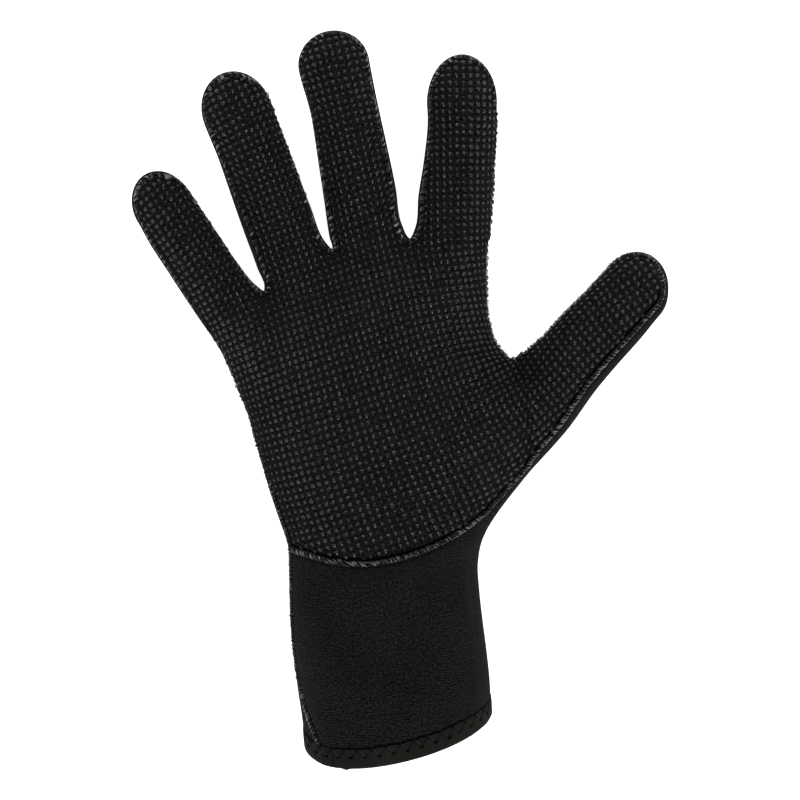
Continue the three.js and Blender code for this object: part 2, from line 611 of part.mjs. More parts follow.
const hemBinding = meshOf("hem_binding", binding, { color: 0x1a1a17, roughness: 0.75, metalness: 0 });

const glove = new THREE.Group();
glove.name = "neoprene_glove";
glove.add(gripPanel, plainPanel, hemBinding);
export default glove;
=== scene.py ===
# Right-hand neoprene glove, palm up: the fine surfaces, grip dots, seam threads and bound hem.
import math
import bpy
import numpy as np
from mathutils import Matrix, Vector
from mathutils.bvhtree import BVHTree
from mathutils.kdtree import KDTree

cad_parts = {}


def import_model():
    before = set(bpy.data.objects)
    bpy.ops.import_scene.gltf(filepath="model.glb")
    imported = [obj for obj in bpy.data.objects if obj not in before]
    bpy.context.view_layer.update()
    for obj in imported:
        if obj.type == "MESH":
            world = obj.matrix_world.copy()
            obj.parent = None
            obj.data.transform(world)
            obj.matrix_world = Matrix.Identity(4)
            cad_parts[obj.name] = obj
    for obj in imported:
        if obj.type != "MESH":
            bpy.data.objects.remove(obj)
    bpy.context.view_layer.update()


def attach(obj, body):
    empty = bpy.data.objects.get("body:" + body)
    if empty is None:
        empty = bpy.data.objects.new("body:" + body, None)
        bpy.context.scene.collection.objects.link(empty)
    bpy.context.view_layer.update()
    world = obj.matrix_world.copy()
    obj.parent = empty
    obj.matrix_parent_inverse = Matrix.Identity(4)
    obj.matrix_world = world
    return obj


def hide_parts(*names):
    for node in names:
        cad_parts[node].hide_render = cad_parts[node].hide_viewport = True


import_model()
MM = 0.001
rng = np.random.default_rng(7)

# ---- sizes and sections, in mm, as in the CAD, but with the seam farther in at the tips ---------
CENTRE = np.array([-0.45, 1.1])
WALL, DRAW = 3.0, 0.12
FINGER_FULLNESS, PALM_FULLNESS, CUFF_FULLNESS = 20.7, 17.3, 32.0
FULLNESS_FROM_Y, FULLNESS_TO_Y = -52.0, -96.0
FINGER_REACH, CUFF_REACH, BACK_INSET = 26.0, 80.0, 3.6
HEM = dict(band=7.4, tongue=0.8, proud=0.5, ply=1.0, lift=0.5)
FINGERS = [
    ("little", (-61.0, 32.1), 123.8, 60.7, 2.1, [
        # along, left, right, mid, seamL, seamR
        [4, 12.3, 12.3, 18.0, 0.9, 1.2],
        [16, 12.3, 11.1, 19.0, 1.4, 0.8],
        [28, 12.1, 11.1, 20.5, 1.6, 0.6],
        [40, 11.8, 11.1, 22.5, 1.6, 0.5],
        [47, 11.1, 11.2, 23.5, 1.8, 0.5],
    ]),
    ("ring", (-40.3, 49.8), 109.3, 74.7, 1.9, [
        [4, 12.2, 14.9, 18.0, 2.6, 1.6],
        [18, 12.4, 14.0, 19.0, 2.9, 1.0],
        [32, 12.4, 13.7, 20.5, 2.1, 0.6],
        [46, 12.3, 13.3, 22.5, 1.6, 0.4],
        [59.7, 12.9, 12.9, 25.0, 1.8, 0.4],
    ]),
    ("middle", (-12.4, 58.6), 100.4, 78.3, 1.7, [
        [4, 13.2, 14.1, 18.0, 1.9, 2.3],
        [18, 12.7, 14.3, 19.0, 1.2, 1.8],
        [34, 12.2, 13.9, 20.5, 1.0, 1.5],
        [50, 11.8, 13.3, 23.0, 1.0, 1.4],
        [66, 13.2, 13.1, 26.0, 1.0, 1.3],
    ]),
    ("index", (19.6, 59.0), 86.9, 68.3, 1.6, [
        [4, 14.3, 13.5, 18.0, 1.9, 0.2],
        [16, 13.7, 13.8, 19.0, 1.6, 0.2],
        [30, 12.3, 13.8, 20.5, 1.5, 0.3],
        [44, 11.8, 13.9, 23.0, 1.4, 0.4],
        [51, 12.5, 13.4, 24.0, 1.2, 0.8],
    ]),
]
THUMB = ("thumb", (47.8, -4.6), 48.6, 72.2, 1.1, [
    [22, 15.5, 12.8, 28.0, -0.3, 4.2],
    [34, 15.2, 12.4, 30.0, -0.3, 4.2],
    [46, 14.6, 12.4, 32.0, -0.3, 4.0],
    [58, 14.2, 11.9, 34.0, -0.3, 3.5],
])
THUMB_FAN = [[44.4, 17.2, 62.3, -10.2, 25.0, -0.3, 3.8]]
TIP_SKEW = {"little": -0.05, "index": 0.04, "thumb": 0.13}
CAP_SEAM_RIGHT = {"thumb": 2.6}  # where the seam lies farther in on a tip's right side
CROTCHES = [(-50.4, 40.4), (-25.2, 56.0), (3.6, 59.8)]
CROTCH_WIDTH = [0.35, 0.45, 1.5]  # how far each crotch opens to a U
CROTCH_SEAM = 1.9
WEB_ROW, HEEL_ROW = 4, 10
PALM = [
    # xl, yl, xr, yr, midL, midR, seamL, seamR
    [-70.9, 25.0, 32.3, 55.3, 18.0, 18.0, 0.9, 0.2],
    [-67.5, 19.9, 32.2, 41.0, 18.0, 18.0, 0.8, 0.0],
    [-64.5, 14.0, 33.1, 29.0, 18.0, 18.4, 0.6, 0.0],
    [-61.8, 7.9, 36.4, 20.6, 18.0, 19.2, 0.5, -0.2],
    [-59.2, 1.7, 42.2, 15.7, 18.0, 20.0, 0.4, -0.3],
    [-56.2, -5.4, 44.6, 9.0, 18.0, 21.0, 0.4, 0.0],
    [-54.2, -13.1, 46.2, 1.6, 18.0, 22.0, 0.4, 0.0],
    [-52.0, -20.5, 47.3, -6.0, 18.0, 22.5, 0.5, 0.0],
    [-50.0, -27.9, 48.1, -13.4, 18.0, 22.5, 0.6, 0.0],
    [-47.7, -35.7, 48.3, -20.2, 18.0, 22.0, 0.9, 0.0],
    [-44.8, -44.2, 48.1, -26.4, 18.0, 21.5, 1.0, 2.2],
    [-41.4, -55.0, 35.2, -43.1, 18.0, 20.0, 1.0, 4.0],
]
SEAM_SAG = [10.6, -0.2, 0.3, 3.1]  # powers of the way across, -1 to 1, times a parabola
CUFF = [
    # xl, yl, xr, yr, mid, seamL, foldR, bowFront, bowBack
    [-41.1, -61.3, 30.7, -50.9, 18.6, 0.9, 4.2, 8.6, 0.0],
    [-41.0, -69.8, 28.9, -60.2, 19.4, 0.9, 4.2, 8.0, 0.0],
    [-40.7, -78.6, 29.4, -70.5, 20.2, 0.9, 4.2, 7.6, 0.0],
    [-40.1, -87.9, 30.5, -80.8, 21.0, 0.9, 4.2, 7.6, 0.0],
    [-39.0, -97.1, 31.8, -90.8, 21.6, 1.0, 4.2, 8.0, 0.0],
    [-37.7, -106.7, 32.9, -100.5, 22.1, 2.2, 4.2, 8.8, -0.6],
    [-35.8, -119.9, 33.5, -108.8, 22.6, 6.8, 4.2, 9.9, -2.0],
]
RIM_STEP, RIM_SKEW = np.array([0.35, -7.39]), 0.08

# How fine the surfaces are.
COLS = 22          # cells across a finger
THUMB_COLS = 30    # cells across the thumb, and palm rows beside it
FLANK = 11         # cells down a flank
ROW_STEP = 1.35    # mm between rows
ACROSS = COLS * len(FINGERS)

# ---- small helpers ---------------------------------------------------------------------------
def unit(v):
    return v / np.maximum(np.linalg.norm(v, axis=-1, keepdims=True), 1e-12)


def smooth(t):
    t = np.clip(t, 0, 1)
    return t * t * (3 - 2 * t)


def spread(j, n):
    return np.sin(np.pi * (np.asarray(j, float) / n - 0.5))


def share(j, n, even=0.0):
    return (1 + spread(j, n)) / 2 * (1 - even) + np.asarray(j, float) / n * even


def finger_share(cols):
    return share(np.arange(cols + 1), cols, 0.35)


def signed_root(s):
    return np.sign(s) * np.sqrt(np.abs(s))


class Rail:
    """A smooth line through rows of a table. The first two columns are x and y; the rest go along."""

    def __init__(self, rows, before=None, after=None):
        p = np.array(rows, float)

        def ghost(g, a, b):
            q = 2 * a - b
            if g is not None:
                q = q.copy()
                q[:2] = g[:2]
            return q

        self.p = np.vstack([ghost(before, p[0], p[1]), p, ghost(after, p[-1], p[-2])])
        h = np.linalg.norm(np.diff(self.p[:, :2], axis=0), axis=1)
        d = np.diff(self.p, axis=0) / h[:, None]
        self.t = (d[:-1] * h[1:, None] + d[1:] * h[:-1, None]) / (h[:-1] + h[1:])[:, None]
        self.h = h[1:-1]
        self.n = len(rows) - 1

    def at(self, s):
        s = np.asarray(s, float)
        i = np.clip(np.floor(s).astype(int), 0, self.n - 1)
        f = (s - i)[..., None]
        h = self.h[i][..., None]
        a, b, ta, tb = self.p[i + 1], self.p[i + 2], self.t[i], self.t[i + 1]
        return (a * (1 + 2 * f) * (1 - f) ** 2 + b * f * f * (3 - 2 * f)
                + ta * h * f * (1 - f) ** 2 - tb * h * f * f * (1 - f))


def steps(rails, first, last, spacing=ROW_STEP):
    """Row numbers from first to last, close enough together on every rail."""
    out = []
    for i in range(first, last):
        n = max(2, int(math.ceil(max(r.h[i - 0] for r in rails) / spacing)))
        out += [i + k / n for k in range(n)]
    return np.array(out + [last])


# ---- plan nodes -------------------------------------------------------------------------------
P, MID = [], []
count = 0


def new(xy, mid):
    global count
    xy = np.asarray(xy, float).reshape(-1, 2)
    mid = np.broadcast_to(np.asarray(mid, float), (len(xy),))
    P.append(xy)
    MID.append(np.array(mid))
    count += len(xy)
    return np.arange(count - len(xy), count)


edge = {}  # outline node -> (signed root of the seam's inset, back's inset)


def axis_of(heading):
    a = math.radians(heading)
    return np.array([math.cos(a), math.sin(a)]), np.array([math.sin(a), -math.cos(a)])


def finger_rails(f, start_left, start_right, before_left, before_right, fan=()):
    name, base, heading, tip, cap_seam, rows = f
    u, r = axis_of(heading)
    base = np.array(base)
    left, right = [start_left], [start_right]
    for xl, yl, xr, yr, mid, sl, sr in fan:
        left.append([xl, yl, mid, signed_root(sl)])
        right.append([xr, yr, mid, signed_root(sr)])
    for along, wl, wr, mid, sl, sr in rows:
        c = base + u * along
        left.append([*(c - r * wl), mid, signed_root(sl)])
        right.append([*(c + r * wr), mid, signed_root(sr)])
    ahead = u * 6
    return (Rail(left, before_left, np.array(left[-1][:2]) + ahead),
            Rail(right, before_right, np.array(right[-1][:2]) + ahead))


def finger_grid(f, first, rails, cols):
    name, base, heading, tip, cap_seam, rows = f
    u, r = axis_of(heading)
    base = np.array(base)
    w = finger_share(cols)[:, None]
    ts = steps(rails, 0, rails[0].n)[1:]
    grid = [first]
    # The first row has a line and heights of its own, which fade out towards the next section.
    xy0, mid0 = np.vstack(P)[first], np.concatenate(MID)[first]
    a, b = rails[0].at(0.0), rails[1].at(0.0)
    own = xy0 - (a[:2] * (1 - w) + b[:2] * w)
    own_mid = mid0 - (a[2] * (1 - w[:, 0]) + b[2] * w[:, 0])
    for t in ts:
        a, b = rails[0].at(t), rails[1].at(t)
        fade = max(0.0, 1 - t) ** 2
        ids = new(a[:2] * (1 - w) + b[:2] * w + own * fade,
                  a[2] * (1 - w[:, 0]) + b[2] * w[:, 0] + own_mid * fade)
        edge[ids[0]] = (a[3], BACK_INSET)
        edge[ids[-1]] = (b[3], BACK_INSET)
        grid.append(ids)
    along, wl, wr, mid, sl, sr = rows[-1]
    half = (wl + wr) / 2
    centre = base + u * along + r * (wr - wl) / 2
    s = 2 * w[:, 0] - 1
    turn = np.linspace(0, 1, 13)[1:]
    caps = 0.65 * np.sin(turn * math.pi / 2) + 0.35 * turn
    for t in caps:
        x = s * np.sqrt(1 - t * t / 2) * half
        y = t * np.sqrt(1 - s * s / 2) * (tip - along) - TIP_SKEW.get(name, 0) * x * t
        ids = new(centre + x[:, None] * r + y[:, None] * u, rails[0].at(float(rails[0].n))[2] + 0.15 * y)
        ql, qr, qc = signed_root(sl), signed_root(sr), signed_root(cap_seam)
        qe = signed_root(CAP_SEAM_RIGHT.get(name, cap_seam))
        edge[ids[0]] = (ql + (qc - ql) * t, BACK_INSET)
        edge[ids[-1]] = (qr + (qe - qr) * t, BACK_INSET)
        if t == caps[-1]:
            for k, a in zip(ids[1:-1], w[1:-1, 0]):
                edge[k] = (qc + (qe - qc) * float(smooth((a - 0.25) / 0.4)), BACK_INSET)
        grid.append(ids)
    return np.array(grid), len(caps), caps


def row_point(f, k, side):
    name, base, heading, tip, cap_seam, rows = f
    u, r = axis_of(heading)
    along, wl, wr = rows[k][:3]
    return np.array(base) + u * along + r * (-wl if side < 0 else wr)


# ---- palm ----------------------------------------------------------------------------------------
palm_rows = len(PALM) - 1
palm_np = np.array(PALM, float)
cuff_np = np.array(CUFF, float)
left_rows = [[r[0], r[1], r[4], signed_root(r[6])] for r in PALM]
right_rows = [[r[2], r[3], r[5], signed_root(r[7])] for r in PALM]
thumb_first = THUMB_FAN[0]
palm_left = Rail(left_rows, row_point(FINGERS[0], 0, -1), cuff_np[0][:2])
palm_right = [
    Rail(right_rows[: WEB_ROW + 1], row_point(FINGERS[-1], 0, 1), thumb_first[:2]),
    Rail(right_rows[WEB_ROW: HEEL_ROW + 1]),
    Rail(right_rows[HEEL_ROW:], thumb_first[2:4], cuff_np[0][2:4]),
]


def right_at(t):
    t = np.asarray(t, float)
    out = np.empty(t.shape + (4,))
    for k, (lo, hi) in enumerate(((0, WEB_ROW), (WEB_ROW, HEEL_ROW), (HEEL_ROW, palm_rows))):
        m = (t >= lo) & (t <= hi) if k == 0 else (t > lo) & (t <= hi)
        out[m] = palm_right[k].at(t[m] - lo)
    return out


top_rows = steps([palm_left, palm_right[0]], 0, WEB_ROW)
mid_rows = WEB_ROW + (HEEL_ROW - WEB_ROW) * share(np.arange(THUMB_COLS + 1), THUMB_COLS, 0.35)
low_rows = HEEL_ROW + 1 - (1 - np.linspace(0, 1, 17)) ** 1.5
palm_t = np.concatenate([top_rows[:-1], mid_rows[:-1], low_rows])
web_i, heel_i = len(top_rows) - 1, len(top_rows) - 1 + THUMB_COLS
PL, PR = palm_left.at(palm_t), right_at(palm_t)
n_palm = len(palm_t)

cc = np.arange(ACROSS + 1)
even_across = share(cc, ACROSS, 0.7)
fi = np.minimum(len(FINGERS) - 1, cc // COLS)
local = share(cc - fi * COLS, COLS, 0.35)
per_finger = (fi + local) / len(FINGERS)
stops = np.array([PL[0][:2], *CROTCHES, PR[0][:2]])
top_edge = stops[fi] * (1 - local[:, None]) + stops[fi + 1] * local[:, None]


def arch(s):
    v = 2 * s - 1
    return np.sqrt(np.maximum(0, 1 - v * v))


last_l, last_r = PL[-1][:2], PR[-1][:2]
straight_edge = last_l * (1 - even_across[:, None]) + last_r * even_across[:, None]
seam_edge = straight_edge.copy()
v = 2 * even_across - 1
seam_edge[:, 1] -= (1 - v * v) * sum(a * v ** k for k, a in enumerate(SEAM_SAG))
palm = []
for i, t in enumerate(palm_t):
    f = t / palm_rows
    # Rows above the seam sag in a gentler line than the seam, which meets the edge at a slant.
    near = max(0.0, t - HEEL_ROW) ** 3
    bottom_edge = straight_edge + (seam_edge - straight_edge) * (
        near + (1 - near) * arch(even_across) ** 1.2)[:, None]
    w = (per_finger * (1 - smooth(f)) + even_across * smooth(f))[:, None]
    p = (top_edge * (1 - f) + bottom_edge * f + PL[i][:2] * (1 - w) + PR[i][:2] * w
         - (stops[0] * (1 - w) + stops[-1] * w) * (1 - f)
         - (bottom_edge[0] * (1 - w) + bottom_edge[-1] * w) * f)
    if i == 0:
        p = top_edge.copy()
    if i == n_palm - 1:
        p = bottom_edge.copy()
    p[0], p[-1] = PL[i][:2], PR[i][:2]
    mid = PL[i][2] + (PR[i][2] - PL[i][2]) * smooth((w[:, 0] - 0.35) / 0.65)
    ids = new(p, mid)
    palm.append(ids)
    edge[ids[0]] = (PL[i][3], BACK_INSET)
    if i <= web_i or i >= heel_i:
        edge[ids[-1]] = (PR[i][3], BACK_INSET)
palm = np.array(palm)
for k in range(1, len(FINGERS)):
    edge[palm[0][k * COLS]] = (signed_root(CROTCH_SEAM), 2.4)
for i in range(web_i - 2, web_i + 1):
    edge[palm[i][-1]] = (PR[i][3], 2.0)

# ---- fingers and thumb -----------------------------------------------------------------------
grids, caps_of = [], []
for k, f in enumerate(FINGERS):
    def start(i):
        if i == 0:
            return [*PL[0][:2], PL[0][2], PL[0][3]]
        if i == len(FINGERS):
            return [*PR[0][:2], PR[0][2], PR[0][3]]
        return [*CROTCHES[i - 1], 18.0, signed_root(CROTCH_SEAM)]

    def before(i, side):
        if i == 0:
            return palm_left.at(1.0)[:2]
        if i == len(FINGERS):
            return palm_right[0].at(1.0)[:2]
        # Behind the crotch on its other side, so that the line leaves it sideways.
        c = np.array(CROTCHES[i - 1])
        d = 1.6 / CROTCH_WIDTH[i - 1]
        u, r = axis_of(f[2])
        return c - r * (side * 1.0) * d * 0.5 - u * d * 0.45

    rails = finger_rails(f, start(k), start(k + 1), before(k, 1), before(k + 1, -1))
    g, ncap, caps = finger_grid(f, palm[0][k * COLS:(k + 1) * COLS + 1], rails, COLS)
    grids.append(g)
    caps_of.append((ncap, caps))
rails = finger_rails(THUMB, [*PR[web_i]], [*PR[heel_i]], PR[web_i - 3][:2], PR[heel_i + 3][:2], THUMB_FAN)
thumb, ncap, caps = finger_grid(THUMB, palm[web_i:heel_i + 1, -1], rails, THUMB_COLS)

# ---- cuff ----------------------------------------------------------------------------------------
cl = [[last_l[0], last_l[1], 18.0, PL[-1][3], 1.9, 9.0, 0.0]]
cr = [[last_r[0], last_r[1], 20.0, PR[-1][3]]]
for xl, yl, xr, yr, mid, sl, fr, bf, bb in CUFF:
    cl.append([xl, yl, mid, signed_root(sl), math.sqrt(BACK_INSET), bf, bb])
    cr.append([xr, yr, mid, signed_root(fr)])
cuff_left = Rail(cl, PL[-4][:2], np.array(cl[-1][:2]) + RIM_STEP)
cuff_right = Rail(cr, PR[-4][:2], np.array(cr[-1][:2]) + RIM_STEP)
cuff_t = steps([cuff_left, cuff_right], 0, len(CUFF))
close = [0.1, 0.2, 0.32, 0.45, 0.6, 0.78]
cuff_t = np.unique(np.concatenate([[0], close, cuff_t[cuff_t >= 0.99],
                                   len(CUFF) - np.array([0.03, 0.06, 0.1])]))
CL, CR = cuff_left.at(cuff_t), cuff_right.at(cuff_t)
cuff = [palm[-1]]
bow = {}
for i in range(1, len(cuff_t)):
    w = even_across[:, None]
    mid = CL[i][2] + (CR[i][2] - CL[i][2]) * smooth((w[:, 0] - 0.35) / 0.65)
    # Down to the first section the palm seam's sag in plan goes over into the section's bow.
    ids = new(CL[i][:2] * (1 - w) + CR[i][:2] * w
              + (bottom_edge - straight_edge) * max(0.0, 1 - cuff_t[i]), mid)
    edge[ids[0]] = (CL[i][3], BACK_INSET)
    edge[ids[-1]] = (CR[i][3], BACK_INSET)
    cuff.append(ids)
cuff = np.array(cuff)
P, MID = np.vstack(P), np.concatenate(MID)
N = len(P)
has_bow = np.zeros(N, bool)
bow_front, bow_back, crest_at = np.zeros(N), np.zeros(N), np.zeros((N, 2))
for i in range(1, len(cuff_t)):
    ids = cuff[i]
    has_bow[ids] = True
    skew = 1 - RIM_SKEW * (2 * even_across - 1)
    bow_front[ids] = CL[i][5] * skew * min(1.0, cuff_t[i])
    bow_back[ids] = CL[i][6] * min(1.0, cuff_t[i])
    crest_at[ids] = (CL[i][:2] + CR[i][:2]) / 2

# ---- outline -------------------------------------------------------------------------------------
outline = list(cuff[::-1, 0][:-1]) + list(palm[::-1, 0])


def go_round(g):
    return list(g[1:, 0]) + list(g[-1, 1:-1]) + list(g[:0:-1, -1])


for k, g in enumerate(grids):
    outline += go_round(g)
    outline.append(palm[0][(k + 1) * COLS])
outline += list(palm[1:web_i + 1, -1]) + go_round(thumb) + list(palm[heel_i:, -1]) + list(cuff[1:, -1])
outline = np.array(outline)
O = P[outline]
d = unit(np.diff(O, axis=0))
tangent = unit(np.vstack([d[:1], d[:-1] + d[1:], d[-1:]]))
inward = np.zeros((N, 2))
inward[outline] = np.stack([tangent[:, 1], -tangent[:, 0]], 1)
# The crotches' inward directions turn over a few nodes, so that the inset line rounds them.
q_seam = np.full(N, np.nan)
back_inset = np.full(N, BACK_INSET)
for k, (q, b) in edge.items():
    q_seam[k], back_inset[k] = q, b
for _ in range(8):
    b = back_inset[outline]
    b[1:-1] = np.minimum(b[1:-1], 0.25 * b[:-2] + 0.5 * b[1:-1] + 0.25 * b[2:])
    back_inset[outline] = b

# ---- fullness ------------------------------------------------------------------------------------
def depth(poly, pts):
    poly = np.asarray(poly, float)
    nxt = np.roll(poly, -1, 0)
    t = nxt - poly
    l = np.linalg.norm(t, axis=1)
    keep = l > 1e-9
    poly, t, l = poly[keep], t[keep], l[keep]
    e = t / l[:, None]
    out = np.zeros(len(pts))
    for a in range(0, len(pts), 6000):
        q = pts[a:a + 6000, None, :] - poly[None]
        dist = -(q[..., 1] * e[:, 0] - q[..., 0] * e[:, 1])
        s = q[..., 0] * e[:, 0] + q[..., 1] * e[:, 1]
        s1, s2 = -s, l - s
        on = (np.abs(dist) < 1e-7)
        touch = (on & (s1 < 1e-9) & (s2 > -1e-9)).any(1)
        dd = np.where(on, 1.0, dist)
        near = np.where(on, 0.0, (s2 / np.hypot(dd, s2) - s1 / np.hypot(dd, s1)) / dd).sum(1)
        out[a:a + 6000] = np.where(touch | (near < 1e-9), 0.0, 2 / np.where(near < 1e-9, 1, near))
    return out


def thin(ids, every=2):
    """Every second node of a fine line, with its last."""
    ids = list(ids)
    return ids[::every] + ([ids[-1]] if (len(ids) - 1) % every else [])


bulges = []
for f, g in zip(FINGERS, grids):
    u, r = axis_of(f[2])
    base = np.array(f[1])
    end = base - u * FINGER_REACH
    part = base - u * FINGER_REACH * 0.6
    bulges.append(np.vstack([
        [end - r * 6, part - r * 10], P[thin(g[:, 0])], P[thin(g[-1, 1:-1])],
        P[thin(g[:, -1])[::-1]], [part + r * 10, end + r * 6]]))
bulges.append(np.vstack([
    P[thin(thumb[:, 0])], P[thin(thumb[-1, 1:-1])], P[thin(thumb[:, -1])[::-1]], [PR[-1][:2]],
    [[22, -38], [9, -24], [4, -6], [9, 12], [27, 20]]]))
hem_l, hem_r = P[cuff[-1, 0]], P[cuff[-1, -1]]
body_poly = np.vstack([
    [hem_l + [4, -CUFF_REACH]], P[thin(cuff[1:, 0])[::-1]], P[thin(palm[:, 0])[::-1]], CROTCHES,
    P[thin(palm[:web_i + 1, -1])], [[52, 9], [57, -2], [57, -13]],
    P[thin(palm[heel_i:, -1])], P[thin(cuff[1:, -1])], [hem_r + [-4, -CUFF_REACH]]])


def half_height(pts):
    k = PALM_FULLNESS + (CUFF_FULLNESS - PALM_FULLNESS) * smooth(
        (pts[:, 1] - FULLNESS_FROM_Y) / (FULLNESS_TO_Y - FULLNESS_FROM_Y))
    total = (k * depth(body_poly, pts)) ** 2
    for poly in bulges:
        lo, hi = poly.min(0) - 0.5, poly.max(0) + 0.5
        m = ((pts >= lo) & (pts <= hi)).all(1)
        if m.any():
            dd = depth(poly, pts[m])
            dd[dd >= 60] = 0
            total[m] += (FINGER_FULLNESS * dd) ** 2
    return total ** 0.25


crest = np.ones(N)
crest[has_bow] = np.repeat([half_height(crest_at[[c[0]]])[0] for c in cuff[1:]], ACROSS + 1)


def place(pts, mid, up, ids):
    h = half_height(pts)
    z = mid + up * h
    low = HEM["lift"] * smooth((-pts[:, 1] - 96) / 10)
    over = z - low
    z = low + 0.5 * (over + np.sqrt(over * over + 0.16))
    b = has_bow[ids]
    lean = np.clip(up * h / crest[ids], -1, 1)
    sag = np.where(b, bow_front[ids] * lean
                   + np.where(lean < 0, (bow_front[ids] + bow_back[ids]) * lean * lean, 0), 0)
    return np.stack([pts[:, 0], pts[:, 1] - sag, z], 1)


def shifts(inset):
    """How far each node moves inwards, for the seam's line or the back's edge."""
    mv = np.zeros((N, 2))
    mv[outline] = inward[outline] * inset[outline][:, None]

    def row(ids, w):
        a, b = mv[ids[0]], mv[ids[-1]]
        mv[ids[1:-1]] = a * (1 - w[1:-1, None]) + b * w[1:-1, None]

    w = finger_share(COLS)
    for k in range(len(FINGERS)):
        row(palm[0][k * COLS:(k + 1) * COLS + 1], w)
    row(palm[web_i:heel_i + 1, -1], np.linspace(0, 1, THUMB_COLS + 1))
    for g, (ncap, caps) in list(zip(grids, caps_of)) + [(thumb, caps_of[0])]:
        n, cols = len(g) - 1, g.shape[1] - 1
        w = finger_share(cols)
        tip = mv[g[-1]].copy()
        line = tip[0] * (1 - w[:, None]) + tip[-1] * w[:, None]
        for i in range(1, n):
            row(g[i], w)
            if i > n - ncap:
                k = caps[i - (n - ncap) - 1]
                mv[g[i][1:-1]] += (tip - line)[1:-1] * k * k
    top = mv[palm[0]] - (mv[palm[0][0]] * (1 - even_across[:, None]) + mv[palm[0][-1]] * even_across[:, None])
    for i in range(1, n_palm):
        a, b = mv[palm[i][0]], mv[palm[i][-1]]
        fade = (1 - palm_t[i] / palm_rows) ** 2
        mv[palm[i][1:-1]] = (a * (1 - even_across[:, None]) + b * even_across[:, None] + top * fade)[1:-1]
    for i in range(1, len(cuff_t)):
        row(cuff[i], even_across)
    return mv


def quads(g, flip):
    a, b, c, e = g[:-1, :-1], g[:-1, 1:], g[1:, 1:], g[1:, :-1]
    q = np.stack([a, b, c, e], -1).reshape(-1, 4)
    return q[:, ::-1] if flip else q


plan_q = np.vstack([quads(g, False) for g in grids + [thumb, palm, cuff]])
plan_e = np.stack([plan_q, np.roll(plan_q, -1, 1)], -1).reshape(-1, 2)
plan_e = np.unique(np.sort(plan_e, 1), axis=0)
links = np.bincount(plan_e.ravel(), minlength=N).astype(float)


def relax(values, fixed, times):
    """Each node that isn't fixed goes to the mean of its neighbours, a number of times."""
    v = values.copy()
    for _ in range(times):
        total = np.stack([np.bincount(plan_e[:, 0], v[plan_e[:, 1], k], N)
                          + np.bincount(plan_e[:, 1], v[plan_e[:, 0], k], N) for k in range(v.shape[1])], 1)
        v = np.where(fixed[:, None], v, total / links[:, None])
    return v


q0 = np.where(np.isnan(q_seam), 0, q_seam)
ids_all = np.arange(N)
front_p = P + shifts(q0 ** 2)
back_base = P.copy()
for i, t in enumerate(palm_t):
    # The back's rows run straight across the wrist, so the sag goes out below the heel.
    back_base[palm[i]] -= (bottom_edge - straight_edge) * (t / palm_rows) * max(0.0, t - HEEL_ROW)
for i in range(1, len(cuff_t)):
    back_base[cuff[i]] -= (bottom_edge - straight_edge) * max(0.0, 1 - cuff_t[i])
back_p = back_base + shifts(back_inset)
sink = np.where(q0 < 0, -1.0, 1.0)
# Where the palm seam runs on into the heel's, and at the tips' corners, the cells are evened out.
loose = np.zeros(N, bool)
loose[palm[heel_i - 4:-1, -24:-1]] = True
for g in grids + [thumb]:
    loose[g[-9:-1, 1:7]] = loose[g[-9:-1, -7:-1]] = True
front = relax(np.column_stack([front_p, MID]), ~loose, 30)
front_p = front[:, :2]
front_v = place(front_p, front[:, 2], sink, ids_all)
# So are the back's below the web, where the edge turns sharply.
loose[:] = False
loose[palm[web_i - 12:web_i + 8, -26:-1]] = True
loose[palm[web_i + 1:web_i + 8, -1]] = True
loose[thumb[1:9, 1:9]] = True
back = relax(np.column_stack([back_p, MID]), ~loose, 40)
back_p = back[:, :2]
back_v = place(back_p, back[:, 2], -1.0, ids_all)

# Vertices: front, back, then each flank's own.
V = [front_v, back_v]
flank = np.zeros((len(outline), FLANK + 1), int)
flank[:, 0] = outline
flank[:, -1] = outline + N
nv = 2 * N
qa, qb = q0[outline], -np.sqrt(back_inset[outline])
for k in range(1, FLANK):
    q = qa + (qb - qa) * k / FLANK
    pts = P[outline] + inward[outline] * (q * q)[:, None]
    V.append(place(pts, MID[outline], np.where(q < 0, -1.0, 1.0), outline))
    flank[:, k] = np.arange(nv, nv + len(outline))
    nv += len(outline)
V = np.vstack(V)

# ---- faces ---------------------------------------------------------------------------------------
grip_q = np.vstack([quads(g, False) for g in grids + [thumb]] + [quads(palm, True)])
cuff_q = quads(cuff, True)
plain_q = np.vstack([quads(g + N, True) for g in grids + [thumb]] + [quads(palm + N, False), quads(cuff + N, False)]
                    + [np.stack([flank[:-1, k], flank[1:, k], flank[1:, k + 1], flank[:-1, k + 1]], -1)
                       for k in range(FLANK)])


def normals_of(v, q):
    n = np.zeros_like(v)
    d1, d2 = v[q[:, 2]] - v[q[:, 0]], v[q[:, 3]] - v[q[:, 1]]
    fn = np.cross(d1, d2)
    for k in range(4):
        np.add.at(n, q[:, k], fn)
    return unit(n)


whole_q = np.vstack([grip_q, cuff_q, plain_q])
NRM = normals_of(V, whole_q)
# The few tiny faces that fold over at a tip's corner are drawn smooth.
for _ in range(8):
    c = V[whole_q]
    fn = np.cross(c[:, 2] - c[:, 0], c[:, 3] - c[:, 1])
    folded = ((fn * NRM[whole_q].sum(1)).sum(1) < 0) & (np.linalg.norm(fn, axis=1) < 0.05)
    moved = {}
    for k in np.unique(whole_q[folded]):
        ring = np.setdiff1d(whole_q[(whole_q == k).any(1)], [k])
        moved[k] = V[ring].mean(0)
    for k, v in moved.items():
        V[k] = v
    NRM = normals_of(V, whole_q)

